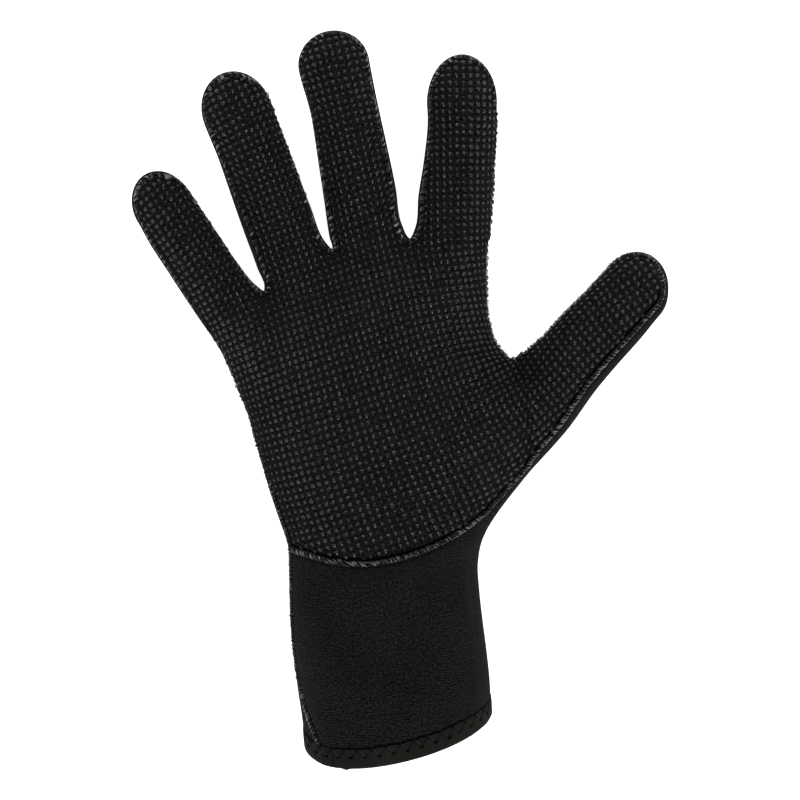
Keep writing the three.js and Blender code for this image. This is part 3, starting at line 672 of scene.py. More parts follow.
# ---- the broad dents of a glove that lies unworn -----------------------------------------------
# Each: where, its half lengths along and across, the direction in degrees, depth.
DENTS = [
    # x, y, along, across, direction, depth
    [34.0, 7.5, 20.0, 4.5, -166.0, 1.9],
    [46.0, 10.5, 9.0, 4.0, 60.0, 1.5],
    [18.0, 24.0, 16.0, 8.0, 150.0, 0.9],
    [-30.0, 39.0, 10.0, 4.0, 12.0, 0.5],
    [-10.0, 43.0, 10.0, 4.0, 8.0, 0.4],
    [12.0, 43.0, 10.0, 4.0, 0.0, 0.4],
]
amount = np.zeros(len(V))
up_side = np.clip(NRM[:, 2], 0, 1)
for x, y, la, lc, ang, dep in DENTS:
    a = math.radians(ang)
    dx, dy = V[:, 0] - x, V[:, 1] - y
    s, c = dx * math.cos(a) + dy * math.sin(a), -dx * math.sin(a) + dy * math.cos(a)
    amount += dep * np.exp(-(s / la) ** 2 - (c / lc) ** 2)
V = V - NRM * (amount * up_side)[:, None]
NRM = normals_of(V, whole_q)

# ---- the thin tongue that the hem grips ----------------------------------------------------------
rim_ring = np.concatenate([cuff[-1], flank[len(outline) - 1][1:], (cuff[-1] + N)[::-1][1:], flank[0][1:-1][::-1]])
ring_ids = np.append(rim_ring, rim_ring[0])
rim_step = unit(np.array([*RIM_STEP, 0.0]))
ring_way = unit(rim_step - NRM[ring_ids] * (NRM[ring_ids] @ rim_step)[:, None])
ring_rest = V[rim_ring].copy()
ring_l = np.concatenate([[0], np.cumsum(np.linalg.norm(np.diff(V[ring_ids], axis=0), axis=1))])
ZIG = dict(pitch=5.2, top=0.45, low=3.35)
zig_n = int(round(ring_l[-1] / ZIG["pitch"]))
zig_pitch = ring_l[-1] / zig_n


def edge_wave(s):
    """The zigzag pulls the edge where cuff and hem meet to and fro."""
    return 0.13 * np.cos(2 * math.pi * s / zig_pitch) + 0.08 * np.sin(2 * math.pi * s / (zig_pitch * 2.7))


V[rim_ring] += ring_way[:-1] * edge_wave(ring_l[:-1])[:, None]
tongue = [ring_ids]
for reach in (0.2, 2.4):
    tongue.append(np.arange(len(V), len(V) + len(ring_ids)))
    V = np.vstack([V, V[ring_ids] + ring_way * reach])
    NRM = np.vstack([NRM, NRM[ring_ids]])
tongue = np.array(tongue)
tongue_q = np.stack([tongue[:-1, :-1], tongue[1:, :-1], tongue[1:, 1:], tongue[:-1, 1:]], -1)
tongue_front, tongue_rest = tongue_q[:, :ACROSS].reshape(-1, 4), tongue_q[:, ACROSS:].reshape(-1, 4)
body_n = 2 * N + len(outline) * (FLANK - 1)

# ---- distance to the seams, the rolled edges, and the painted shade along them ------------------
palm_loop = np.array(
    list(palm[::-1, 0])
    + [k for i, g in enumerate(grids) for k in go_round(g) + [palm[0][(i + 1) * COLS]]]
    + list(palm[1:web_i + 1, -1]) + go_round(thumb) + list(palm[heel_i:, -1])
    + list(palm[-1][::-1][1:-1]))
side_line = cuff[:, 0]


def dense(points, closed, step=0.5):
    p = V[points]
    if closed:
        p = np.vstack([p, p[:1]])
    l = np.concatenate([[0], np.cumsum(np.linalg.norm(np.diff(p, axis=0), axis=1))])
    t = np.arange(0, l[-1], step)
    return np.stack([np.interp(t, l, p[:, k]) for k in range(3)], 1)


def distance_to(points):
    tree = KDTree(len(points))
    for i, p in enumerate(points):
        tree.insert(p, i)
    tree.balance()
    return np.array([tree.find(p)[2] for p in V])


d_palm = distance_to(dense(palm_loop, True))
d_side = distance_to(dense(side_line, False))
d_rim = distance_to(dense(rim_ring, True))


def roll(dist, deep, wide, flat=0.0):
    return deep * smooth(1 - np.clip((dist - flat) / (wide - flat), 0, 1))


# Where the seam has a deep groove on the dotted side: along the cuff, the heel and the thumb.
deep_line = np.concatenate([thumb[2:-6, -1][::-1], palm[heel_i:, -1], palm[-1][::-1]])
d_deep = distance_to(dense(deep_line, False))
deep_here = smooth(1.5 - np.clip(d_deep - d_palm, 0, 3) / 2)
# Low on the palm's outer edge it is about half as deep.
d_outer = distance_to(dense(palm[web_i - 4:, 0], False))
deep_here = np.maximum(deep_here, 0.42 * smooth((-22 - V[:, 1]) / 12) * smooth(1.5 - np.clip(d_outer - d_palm, 0, 3) / 2))
grip_dip = roll(d_palm, 0.9, 1.3, 0.3) * (1 - deep_here) + roll(d_palm, 1.5, 2.1, 0.9) * deep_here
plain_dip = np.maximum(roll(d_palm, 0.45, 1.2, 0.2), np.maximum(roll(d_side, 0.8, 1.2, 0.2), roll(d_rim, 0.55, 0.9, 0.1)))
plain_dip[body_n:] = 0.95
# Painted shade: the jerseys' colour is darkened along the seams, deeper and wider where the seam's groove is deep; on
# the plain side also along the side seam and the rim.
painted_shade = np.maximum(roll(d_palm, 1.0, 1.35, 0.3) * (1 - deep_here), roll(d_palm, 1.0, 2.15, 1.1) * deep_here)
plain_painted_shade = np.maximum(roll(d_palm, 0.6, 2.9, 1.6), np.maximum(roll(d_side, 1.0, 1.25, 0.4), roll(d_rim, 1.0, 0.7, 0.2)))
# The tongue is painted dark all over, a painted shade in the gap between cuff and hem.
plain_painted_shade[body_n:] = 1.0
# Painted shade in the crease at the thumb's root, on the grip panel's colour.
sx, sy = V[:, 0] - 40, V[:, 1] - 13
painted_shade = np.maximum(painted_shade, 0.45 * np.exp(-((sx * 0.966 - sy * 0.259) / 20) ** 2 - ((sx * 0.259 + sy * 0.966) / 8) ** 2))

# ---- fabric coordinates ---------------------------------------------------------------------------
# Grip panel: the dots' lattice lies square on the sheet. Its direction on each finger, as the
# fingers are spread, and the sheet's own lengths, give the flat coordinates by least squares.
LATTICE = [
    # x, y, direction of the rows and of the columns in degrees, pitch along each
    [-88, 69, 36, 124, 2.60, 2.60], [-77, 53, 34, 124, 2.60, 2.60], [-66, 36, 31, 119, 2.60, 2.60],
    [-59, 104, 26, 118, 2.60, 2.60], [-50, 84, 23, 112, 2.60, 2.60], [-43, 60, 19, 109, 2.60, 2.60],
    [-22, 119, 13, 105, 2.60, 2.60], [-18, 99, 15, 104, 2.60, 2.60], [-12, 73, 16, 104, 2.60, 2.60],
    [23, 111, 0, 90, 2.60, 2.60], [22, 91, 0, 90, 2.60, 2.60], [19, 67, 0, 89, 2.60, 2.60],
    [-55, 18, 23, 107, 2.60, 2.60], [-37, 25, 16, 105, 2.51, 2.61], [-22, 29, 16, 104, 2.45, 2.61],
    [-4, 33, 15, 104, 2.46, 2.58], [15, 36, 5, 101, 2.60, 2.60], [26, 25, 3, 108, 2.60, 2.60],
    [-40, -11, 15, 101, 2.60, 2.60], [-26, -7, 17, 103, 2.64, 2.67], [-11, 0, 20, 105, 2.53, 2.61],
    [4, 3, 20, 109, 2.50, 2.61], [18, 7, 21, 111, 2.49, 2.41], [-33, -37, 13, 108, 2.60, 2.60],
    [-22, -37, 18, 110, 2.79, 2.54], [-11, -37, 19, 111, 2.82, 2.56], [0, -40, 18, 115, 2.82, 2.45],
    [11, -33, 18, 115, 2.73, 2.52], [26, -18, 26, 118, 2.62, 2.70], [37, 5, 38, 117, 2.60, 2.60],
    [44, -7, 41, 128, 2.53, 2.69], [62, 13, 49, 131, 2.53, 2.69], [71, 22, 41, 126, 2.60, 2.60],
    [80, 33, 34, 126, 2.60, 2.60], [90, 42, 36, 126, 2.60, 2.60], [-48, 3, 19, 101, 2.60, 2.60],
    [-37, -24, 13, 104, 2.60, 2.60], [15, -15, 24, 114, 2.61, 2.71], [29, 0, 28, 113, 2.60, 2.60],
    [-18, -20, 18, 107, 2.71, 2.70], [-4, -20, 18, 110, 2.66, 2.65], [53, -7, 41, 128, 2.53, 2.69],
]
PITCH = 2.60
lat = np.array(LATTICE, float)
lat_xy = lat[:, :2]


def poisson_uv(quad_list):
    used, inv = np.unique(quad_list, return_inverse=True)
    q = inv.reshape(-1, 4)
    v, nrm = V[used], NRM[used]
    tri = np.vstack([q[:, [0, 1, 2]], q[:, [0, 2, 3]]])
    a, b, c = v[tri[:, 0]], v[tri[:, 1]], v[tri[:, 2]]
    fn = np.cross(b - a, c - a)
    area2 = np.linalg.norm(fn, axis=1)
    ok = area2 > 1e-7
    tri, a, b, c, fn, area2 = tri[ok], a[ok], b[ok], c[ok], fn[ok], area2[ok]
    n = fn / area2[:, None]
    m = (a + b + c) / 3
    d2 = ((m[:, None, :2] - lat_xy[None]) ** 2).sum(2)
    w = 1 / (d2 + 16.0) ** 1.6
    r1, r2, p1, p2 = ((w * lat[:, k]).sum(1) / w.sum(1) for k in (2, 3, 4, 5))
    r1, r2 = np.radians(r1), np.radians(r2)
    # The gradients that make one step along a row add a pitch to u only, and along a column to v only.
    turn = np.sin(r2 - r1)
    e = np.stack([np.sin(r2), -np.cos(r2)], 1) / (turn * p1)[:, None] * PITCH
    f = np.stack([-np.sin(r1), np.cos(r1)], 1) / (turn * p2)[:, None] * PITCH
    s = np.linalg.norm(n[:, :2], axis=1)
    mm = n[:, :2] / np.maximum(s, 1e-9)[:, None]
    mm[s < 1e-6] = [1, 0]
    bb = np.stack([mm[:, 0] * n[:, 2], mm[:, 1] * n[:, 2], -s], 1)
    aa = np.stack([-mm[:, 1], mm[:, 0], np.zeros(len(mm))], 1)
    eu, ev = ((g[:, 0] * aa[:, 0] + g[:, 1] * aa[:, 1])[:, None] * aa + (g * mm).sum(1)[:, None] * bb for g in (e, f))
    # Gradients of the corners' hat functions, times the area.
    g = [np.cross(n, c - b) / 2, np.cross(n, a - c) / 2, np.cross(n, b - a) / 2]
    nvx = len(used)
    rows, cols, vals = [], [], []
    for i in range(3):
        for k in range(3):
            rows.append(tri[:, i]); cols.append(tri[:, k])
            vals.append((g[i] * g[k]).sum(1) / (area2 / 2))
    rows, cols, vals = map(np.concatenate, (rows, cols, vals))
    diag = np.bincount(rows[rows == cols], vals[rows == cols], nvx)
    diag = np.maximum(diag, 1e-9)

    def mul(x):
        return np.bincount(rows, vals * x[cols], nvx)

    out = []
    for target, guess in ((eu, 0), (ev, 1)):
        rhs = np.zeros(nvx)
        for i in range(3):
            rhs += np.bincount(tri[:, i], (g[i] * target).sum(1), nvx)
        x = v[:, guess].copy()
        r = rhs - mul(x)
        z = r / diag
        p = z.copy()
        rz = (r * z).sum()
        for _ in range(900):
            ap = mul(p)
            al = rz / (p * ap).sum()
            x += al * p
            r -= al * ap
            z = r / diag
            rz2 = (r * z).sum()
            if rz2 < 1e-9:
                break
            p = z + p * (rz2 / rz)
            rz = rz2
        out.append(x - x[0])
    uv = np.full((len(V), 2), 0.0)
    uv[used] = np.stack(out, 1)
    return uv


uv_grip = poisson_uv(grip_q)

# Plain panel: v is the same along each knitted course. The courses lie level, and near the hem
# they follow it; u goes round.
uv_plain = np.zeros((len(V), 2))
uv_plain[:] = V[:, :2]
along_hem = 0.75 * smooth(cuff_t / 6)
row_y = np.array([V[row, 1].mean() for row in cuff])
outline_pos = {int(k): i for i, k in enumerate(outline)}
uv_cuff = np.zeros((len(V), 2))
for i in range(len(cuff)):
    b, f = cuff[i] + N, cuff[i]
    k, mean_y = along_hem[i], row_y[i]
    uv_plain[b, 1] = (1 - k) * V[b, 1] + k * mean_y
    l, r = flank[outline_pos[int(f[0])]], flank[outline_pos[int(f[-1])]]
    for side in (l[1:], r[1:]):
        uv_plain[side, 1] = (1 - k) * V[side, 1] + k * mean_y
    for line, sign in ((l[::-1], -1), (r[::-1], 1)):
        arc = np.concatenate([[0], np.cumsum(np.linalg.norm(np.diff(V[line], axis=0), axis=1))])
        uv_plain[line[:-1], 0] = V[line[0], 0] + sign * arc[:-1]
        end = V[line[0], 0] + sign * arc[-1]
    arc = np.concatenate([[0], np.cumsum(np.linalg.norm(np.diff(V[f[::-1]], axis=0), axis=1))])[::-1]
    uv_cuff[f, 0] = end + arc
    uv_cuff[f, 1] = (1 - k) * V[f, 1] + k * mean_y
# The hand's flanks go on from the back.
hand = np.array([i for i, f in enumerate(outline) if not has_bow[f] and f not in palm[-1]])
for i in hand:
    line = flank[i][::-1]
    arc = np.concatenate([[0], np.cumsum(np.linalg.norm(np.diff(V[line], axis=0), axis=1))])
    base = V[line[0]]
    out_dir = -inward[outline[i]]
    uv_plain[line, 0] = base[0] + out_dir[0] * arc
    w = smooth((base[1] + 50) / 20)
    uv_plain[line, 1] = w * (base[1] + out_dir[1] * arc) + (1 - w) * V[line, 1]

for k in range(tongue.shape[0] - 1):
    uv_plain[tongue[k + 1]] = uv_plain[ring_ids]
    uv_cuff[tongue[k + 1]] = uv_cuff[ring_ids]


# ---- meshes -----------------------------------------------------------------------------------------
def to_row(v):
    return (np.asarray(v) - [CENTRE[0], CENTRE[1], 0]) * MM


def mesh_object(name, verts, faces, uv=None, attrs=None):
    """faces: arrays of quads or triangles. uv and attrs are per vertex."""
    me = bpy.data.meshes.new(name)
    faces = [np.asarray(f) for f in (faces if isinstance(faces, list) else [faces])]
    loops = np.concatenate([f.ravel() for f in faces]).astype(np.int32)
    sizes = np.concatenate([np.full(len(f), f.shape[1]) for f in faces]).astype(np.int32)
    me.vertices.add(len(verts))
    me.vertices.foreach_set("co", to_row(verts).astype(np.float32).ravel())
    me.loops.add(len(loops))
    me.loops.foreach_set("vertex_index", loops)
    me.polygons.add(len(sizes))
    me.polygons.foreach_set("loop_start", np.concatenate([[0], np.cumsum(sizes)[:-1]]).astype(np.int32))
    me.polygons.foreach_set("use_smooth", np.ones(len(sizes), bool))
    if uv is not None:
        layer = me.uv_layers.new(name="fabric")
        layer.data.foreach_set("uv", uv[loops].astype(np.float32).ravel())
    for key, val in (attrs or {}).items():
        at = me.attributes.new(key, "FLOAT", "POINT")
        at.data.foreach_set("value", np.asarray(val, np.float32))
    me.update(calc_edges=True)
    me.validate()
    o = bpy.data.objects.new(name, me)
    bpy.context.scene.collection.objects.link(o)
    return o


def wall_shell(parts, dip, dark, rib, uvs, name):
    """A closed 3 mm wall under a list of (tag, quads); each tag may have vertices of its own."""
    verts, nrm, uv, near, src = [], [], [], [], []
    index = {}
    q_out = []
    for tag, q in parts:
        used, inv = np.unique(q, return_inverse=True)
        ids = np.empty(len(used), int)
        for i, k in enumerate(used):
            key = (tag if (tag == "cuff" and k in slit) else "", int(k))
            if key not in index:
                index[key] = len(src)
                src.append(int(k))
                uv.append(uvs[tag][k])
            ids[i] = index[key]
        q_out.append(ids[inv.reshape(-1, 4)])
    src, uv, q = np.array(src), np.array(uv), np.vstack(q_out)
    n = NRM[src]
    v = V[src].copy()
    # Free edges.
    e = np.stack([q, np.roll(q, -1, 1)], -1).reshape(-1, 2)
    code, back = e[:, 0].astype(np.int64) * 10 ** 7 + e[:, 1], e[:, 1].astype(np.int64) * 10 ** 7 + e[:, 0]
    free = e[~np.isin(code, back)]
    t = unit(v[free[:, 1]] - v[free[:, 0]])
    pull = np.zeros_like(v)
    for k in range(2):
        np.add.at(pull, free[:, k], np.cross(n[free[:, k]], t))
    v += unit(pull) * DRAW * (np.linalg.norm(pull, axis=1, keepdims=True) > 0)
    inner = v - n * WALL
    outer = v - n * dip[src][:, None]
    m = len(v)
    faces = [np.vstack([q, q[:, ::-1] + m, np.stack([free[:, 1], free[:, 0], free[:, 0] + m, free[:, 1] + m], -1)])]
    # The outer face carries the seams' painted shade as an attribute; the inner face has none.
    return mesh_object(name, np.vstack([outer, inner]), faces, np.vstack([uv, uv]),
                       {"painted_shade": np.concatenate([dark[src], np.zeros(m)]), "rib": np.concatenate([rib[src]] * 2)})


slit = set(int(k) for k in cuff[:, 0]) | set(int(k) for k in tongue[1:, 0])
# The plain side's ribs show most along the cuff's edges and towards the hem.
ribbed = np.clip(0.25 + 0.75 * np.exp(-((V[:, 0] + 40) / 14) ** 2) * smooth((-66 - V[:, 1]) / 12) + 0.75 * smooth((V[:, 0] - 4) / 16)
                 + 0.35 * smooth((-95 - V[:, 1]) / 20), 0, 1.2)
grip_panel = wall_shell([("grip", grip_q)], grip_dip, painted_shade, np.ones(len(V)), {"grip": uv_grip}, "grip_panel")
plain_panel = wall_shell([("plain", plain_q), ("cuff", cuff_q), ("cuff", tongue_front), ("plain", tongue_rest)],
                         plain_dip, plain_painted_shade, ribbed, {"plain": uv_plain, "cuff": uv_cuff}, "plain_panel")

# ---- grip dots -------------------------------------------------------------------------------------
def dot_places():
    tri = np.vstack([grip_q[:, [0, 1, 2]], grip_q[:, [0, 2, 3]]])
    t = uv_grip[tri] / PITCH
    lo = np.ceil(t.min(1) - 1e-9)
    out = []
    a, b, c = t[:, 0], t[:, 1], t[:, 2]
    det = (b[:, 0] - a[:, 0]) * (c[:, 1] - a[:, 1]) - (c[:, 0] - a[:, 0]) * (b[:, 1] - a[:, 1])
    for i in range(3):
        for k in range(3):
            p = lo + [i, k]
            x, y = p[:, 0] - a[:, 0], p[:, 1] - a[:, 1]
            w1 = (x * (c[:, 1] - a[:, 1]) - (c[:, 0] - a[:, 0]) * y) / det
            w2 = ((b[:, 0] - a[:, 0]) * y - x * (b[:, 1] - a[:, 1])) / det
            m = (w1 >= 0) & (w2 >= 0) & (w1 + w2 <= 1) & (np.abs(det) > 1e-9)
            for s in np.nonzero(m)[0]:
                out.append((int(p[s, 0]), int(p[s, 1]), s, w1[s], w2[s]))
    seen, keep = set(), []
    for o in sorted(out):
        if o[:2] not in seen:
            seen.add(o[:2])
            keep.append(o)
    s = np.array([o[2] for o in keep])
    w = np.array([[1 - o[3] - o[4], o[3], o[4]] for o in keep])
    tr = tri[s]
    pos = (V[tr] * w[..., None]).sum(1)
    nrm = unit((NRM[tr] * w[..., None]).sum(1))
    dip = (grip_dip[tr] * w).sum(1)
    near = (d_palm[tr] * w).sum(1)
    ua = V[tr[:, 1]] - V[tr[:, 0]]
    ub = V[tr[:, 2]] - V[tr[:, 0]]
    ta, tb = uv_grip[tr[:, 1]] - uv_grip[tr[:, 0]], uv_grip[tr[:, 2]] - uv_grip[tr[:, 0]]
    dd = ta[:, 0] * tb[:, 1] - tb[:, 0] * ta[:, 1]
    du = (ua * tb[:, 1:2] - ub * ta[:, 1:2]) / dd[:, None]
    du = unit(du - nrm * (du * nrm).sum(1)[:, None])
    keep_off = (deep_here[tr] * w).sum(1)
    m = near > 0.85 + 0.70 * keep_off
    on_thumb_or_finger = np.isin(tr[:, 0], finger_nodes)
    return pos[m], nrm[m], dip[m], du[m], on_thumb_or_finger[m]


finger_nodes = np.unique(np.concatenate([g[1:].ravel() for g in grids + [thumb]]))
DOT = dict(radius=0.60, around=11)
dp, dn, ddip, du, dot_finger = dot_places()
n_dots = len(dp)
around = DOT["around"]
ang = np.arange(around) * 2 * math.pi / around
# Printed dots: a thin skirt, short steep sides and a low dome. Shares of the radius, and heights in mm.
profile = [(1.50, -0.10), (1.42, 0.015), (1.04, 0.035), (0.97, 0.12), (0.83, 0.208), (0.62, 0.290), (0.33, 0.348)]
crown_height = 0.368
# On the flanks, and most near the palm's outer edge and the index's side, the dots are smaller and duller.
flank = smooth((0.90 - dn[:, 2]) / 0.30)
outer = np.hypot(*(dp[:, None, :2] - P[palm[::4, 0]][None]).transpose(2, 0, 1)).min(1)
outer = np.exp(-(outer / 12) ** 2) * smooth((14 - dp[:, 1]) / 16)
inner_edge = np.concatenate([grids[-1][::-3, -1], palm[:web_i - 2:3, -1]])
inner = np.hypot(*(dp[:, None, :2] - P[inner_edge][None]).transpose(2, 0, 1)).min(1)
inner = np.exp(-(inner / 6) ** 2) * smooth((100 - dp[:, 1]) / 20) * smooth((dp[:, 1] - 18) / 8)
size = DOT["radius"] * (1 + 0.04 * rng.standard_normal(n_dots)) * np.where(dot_finger, 0.94, 0.97) * (1 - 0.20 * flank - 0.18 * inner - 0.25 * outer)
tall = 1 + 0.08 * rng.standard_normal(n_dots)
jig = 0.07 * rng.standard_normal((n_dots, 2))
dv = np.cross(dn, du)
centre = dp - dn * ddip[:, None] + du * jig[:, :1] + dv * jig[:, 1:]
# Each dot leans a little its own way.
lean = 0.05 * rng.standard_normal((n_dots, 2))
dn2 = unit(dn + du * lean[:, :1] + dv * lean[:, 1:])
du2 = unit(du - dn2 * (du * dn2).sum(1)[:, None])
dv2 = np.cross(dn2, du2)
bend, turned = 0.035 * rng.standard_normal(n_dots), rng.random(n_dots) * math.pi
rings = []
for r, h in profile:
    uneven = bend[:, None] * r * r * np.cos(2 * (ang[None] - turned[:, None])) * (h > 0.1)
    x = np.cos(ang)[None, :] * (r * size)[:, None]
    y = np.sin(ang)[None, :] * (r * size)[:, None]
    rings.append(centre[:, None] + du2[:, None] * x[..., None] + dv2[:, None] * y[..., None]
                 + dn2[:, None] * (h * tall[:, None] + uneven)[..., None])
crown = centre + dn2 * (tall * crown_height)[:, None]
per = around * len(profile) + 1
dot_all = np.concatenate([np.concatenate(rings, 1), crown[:, None]], 1)
q, t = [], []
for k in range(len(profile) - 1):
    for a in range(around):
        b = (a + 1) % around
        q.append([k * around + a, k * around + b, (k + 1) * around + b, (k + 1) * around + a])
for a in range(around):
    t.append([(len(profile) - 1) * around + a, (len(profile) - 1) * around + (a + 1) % around, per - 1])
dot_tone = rng.random(n_dots)
# Dots are duller where the thumb's root creases, along the palm's outer edge and the index's side, and here and there.
sx, sy = dp[:, 0] - 37, dp[:, 1] - 12
crease = np.exp(-((sx * 0.966 - sy * 0.259) / 20) ** 2 - ((sx * 0.259 + sy * 0.966) / 9) ** 2)
dot_dull = np.clip(0.9 * crease + 0.38 * outer + 0.40 * inner + 0.22 * flank + 0.09 * np.abs(rng.standard_normal(n_dots)), 0, 1)


def dot_object(name, pick):
    v = dot_all[pick]
    off = (np.arange(len(v)) * per)[:, None, None]
    return mesh_object(name, v.reshape(-1, 3), [(np.array(q)[None] + off).reshape(-1, 4), (np.array(t)[None] + off).reshape(-1, 3)],
                       None, {"tone": np.repeat(dot_tone[pick], per), "dull": np.repeat(dot_dull[pick], per)})


half = dp[:, 1] > np.median(dp[~dot_finger, 1])
grip_dots = [dot_object("palm_dots_low", ~dot_finger & ~half), dot_object("palm_dots_high", ~dot_finger & half),
             dot_object("finger_dots", dot_finger)]

# ---- threads ---------------------------------------------------------------------------------------
bvh = BVHTree.FromPolygons([Vector(v) for v in V], whole_q.tolist())


def on_surface(pts):
    pos, nrm = np.empty_like(pts), np.empty_like(pts)
    for i, p in enumerate(pts):
        loc, n, k, _ = bvh.find_nearest(Vector(p))
        pos[i] = loc
        a = NRM[whole_q[k]]
        c = V[whole_q[k]]
        w = 1 / (np.linalg.norm(c - np.array(loc), axis=1) + 1e-3)
        nrm[i] = (a * w[:, None]).sum(0)
    return pos, unit(nrm)


def tubes(paths, radius, sides, closed=False):
    """paths: (n, k, 3) points; radius a number or (k,) numbers. Capped unless closed."""
    paths = np.asarray(paths)
    n, k, _ = paths.shape
    rad = np.broadcast_to(np.asarray(radius, float), (n, k))
    if closed:
        tang = unit(np.roll(paths, -1, 1) - np.roll(paths, 1, 1))
    else:
        tang = unit(np.concatenate([paths[:, 1:2] - paths[:, :1], paths[:, 2:] - paths[:, :-2], paths[:, -1:] - paths[:, -2:-1]], 1))
    ref = np.zeros((n, 3)); ref[:] = [0.13, 0.21, 0.97]
    side = unit(np.cross(tang[:, 0], ref))
    frames = []
    for i in range(k):
        side = unit(side - tang[:, i] * (side * tang[:, i]).sum(1)[:, None])
        frames.append((side, np.cross(tang[:, i], side)))
    a = np.arange(sides) * 2 * math.pi / sides
    rings = []
    for i in range(k):
        s, b = frames[i]
        rings.append(paths[:, i, None] + rad[:, i, None, None] * (np.cos(a)[None, :, None] * s[:, None] + np.sin(a)[None, :, None] * b[:, None]))
    v = np.stack(rings, 1).reshape(-1, 3)
    per = k * sides
    q = []
    for i in range(k if closed else k - 1):
        for c in range(sides):
            e = (c + 1) % sides
            i2 = (i + 1) % k
            q.append([i * sides + c, i * sides + e, i2 * sides + e, i2 * sides + c])
    q = (np.array(q)[None] + (np.arange(n) * per)[:, None, None]).reshape(-1, 4)
    if closed:
        return v, q, np.zeros((0, 3), int)
    t = []
    for c in range(1, sides - 1):
        t.append([0, c + 1, c])
        t.append([(k - 1) * sides, (k - 1) * sides + c, (k - 1) * sides + c + 1])
    t = (np.array(t)[None] + (np.arange(n) * per)[:, None, None]).reshape(-1, 3)
    return v, q, t


def join(parts):
    vs, qs, ts, n = [], [], [], 0
    for v, q, t in parts:
        vs.append(v); qs.append(q + n); ts.append(t + n)
        n += len(v)
    return np.vstack(vs), np.vstack(qs), np.vstack(ts)


def seam_line(points, closed):
    """Even samples of a seam: place, way along it, and way across it to the plain side."""
    p = V[points]
    nn = NRM[points]
    if closed:
        p, nn = np.vstack([p, p[:1]]), np.vstack([nn, nn[:1]])
    l = np.concatenate([[0], np.cumsum(np.linalg.norm(np.diff(p, axis=0), axis=1))])
    return p, nn, l


def overlock(points, closed, side, pitch, slant, centre_off, seed, reach=1.0, shade_along=None):
    """Loops of thread over a seam. pitch and slant are functions of the distance along it."""
    r = np.random.default_rng(seed)
    p, nn, l = seam_line(points, closed)
    total = l[-1]
    fine = np.arange(0, total, 0.25)
    count_at = np.concatenate([[0], np.cumsum(0.25 / pitch(fine))])
    n = int(count_at[-1])
    base = np.interp(np.arange(n) * count_at[-1] / n, count_at, np.append(fine, total))
    gap = pitch(base)
    lean = slant(base)

    def at(s):
        s = np.mod(s, total) if closed else np.clip(s, 0, total)
        pos = np.stack([np.interp(s, l, p[:, k]) for k in range(3)], -1)
        nr = unit(np.stack([np.interp(s, l, nn[:, k]) for k in range(3)], -1))
        e = 0.8
        sa, sb = (np.mod(s - e, total), np.mod(s + e, total)) if closed else (np.clip(s - e, 0, total), np.clip(s + e, 0, total))
        ta = unit(np.stack([np.interp(sb, l, p[:, k]) - np.interp(sa, l, p[:, k]) for k in range(3)], -1))
        return pos, nr, ta, unit(np.cross(ta, nr)) * side

    # across the seam, share of the slant, height
    prof = np.array([(-0.95, -0.50, -0.75), (-0.80, -0.44, -0.15), (-0.45, -0.26, 0.34), (0.05, 0.0, 0.50),
                     (0.55, 0.26, 0.40), (0.88, 0.44, 0.05), (0.98, 0.50, -0.35)])
    parts, tones = [], []
    k = len(prof)
    shift, lift, worn = 0.13 * gap * r.standard_normal(n), 1 + 0.22 * r.standard_normal(n), 0.20 * r.standard_normal(n)
    lean = lean * (1 + 0.36 * r.standard_normal(n)) + 0.14 * gap * r.standard_normal(n)
    highlight_at = 0.10 + 0.36 * r.standard_normal(n)  # where across the seam each loop's painted highlight sits
    # Over some stitches the loops are fuller and lighter than over the next.
    stretch = np.interp(base, np.arange(0, total + 9, 4.5), r.standard_normal(len(np.arange(0, total + 9, 4.5))))
    worn = worn + 0.22 * stretch
    for j in range(3):
        wob = 0.10 * gap * r.standard_normal(n)
        s0 = base + (j - 1) * 0.14 * gap + shift + wob
        wide = (1 + 0.15 * r.standard_normal(n) + 0.12 * stretch) * reach
        high = lift * (1 + 0.15 * r.standard_normal(n))
        pts, hs = [], []
        for w, f, h in prof:
            pos, nr, ta, ac = at(s0 + f * lean)
            pts.append(pos + ac * (centre_off + w * wide)[:, None])
            hs.append(h * np.where(h > 0, high, 1))
        flat = np.stack(pts, 1).reshape(-1, 3)
        pos, nr = on_surface(flat)
        radius = (0.055 + 0.052 * np.minimum(gap, 2.6)) * (1 + 0.17 * r.standard_normal(n))
        v, q, t = tubes((pos + nr * np.stack(hs, 1).reshape(-1)[:, None]).reshape(n, k, 3), radius[:, None] * np.ones(k), 5)
        parts.append((v, q, t))
        # Painted highlight and shade: each loop is lighter at its crest and fades to dark towards its ends.
        top = np.exp(-((prof[None, :, 0] - highlight_at[:, None] - 0.15 * r.standard_normal((n, 1))) / 0.52) ** 2)
        # Painted shade: the loops' tone is lowered by the given share along the seam.
        if shade_along is not None:
            top = top * (1 - shade_along(base))[:, None]
        tones.append(np.repeat(np.clip((0.74 + worn + 0.2 * r.standard_normal(n))[:, None] * top, 0, 1).ravel(), 5))
    # The looper threads run along both edges of the loops.
    for w0, amp, high, radius in ((centre_off + 0.78 * reach, 0.24, 0.06, 0.11), (centre_off - 0.74 * reach, 0.22, -0.04, 0.10)):
        per_stitch = 6
        m = n * per_stitch
        ph = np.arange(m) / per_stitch
        s = np.interp(ph * count_at[-1] / n, count_at, np.append(fine, total)) + np.sign(w0 - centre_off) * 0.5 * lean.mean()
        pos, nr, ta, ac = at(s)
        flat = pos + ac * (w0 + amp * np.sin(2 * math.pi * ph))[:, None]
        pos, nr = on_surface(flat)
        line = pos + nr * (high + 0.12 * np.cos(2 * math.pi * ph))[:, None]
        v, q, t = tubes(line[None], radius, 5, closed)
        parts.append((v, q, t))
        tones.append(np.full(len(v), 0.12))
    v, q, t = join(parts)
    return v, q, t, np.concatenate(tones)


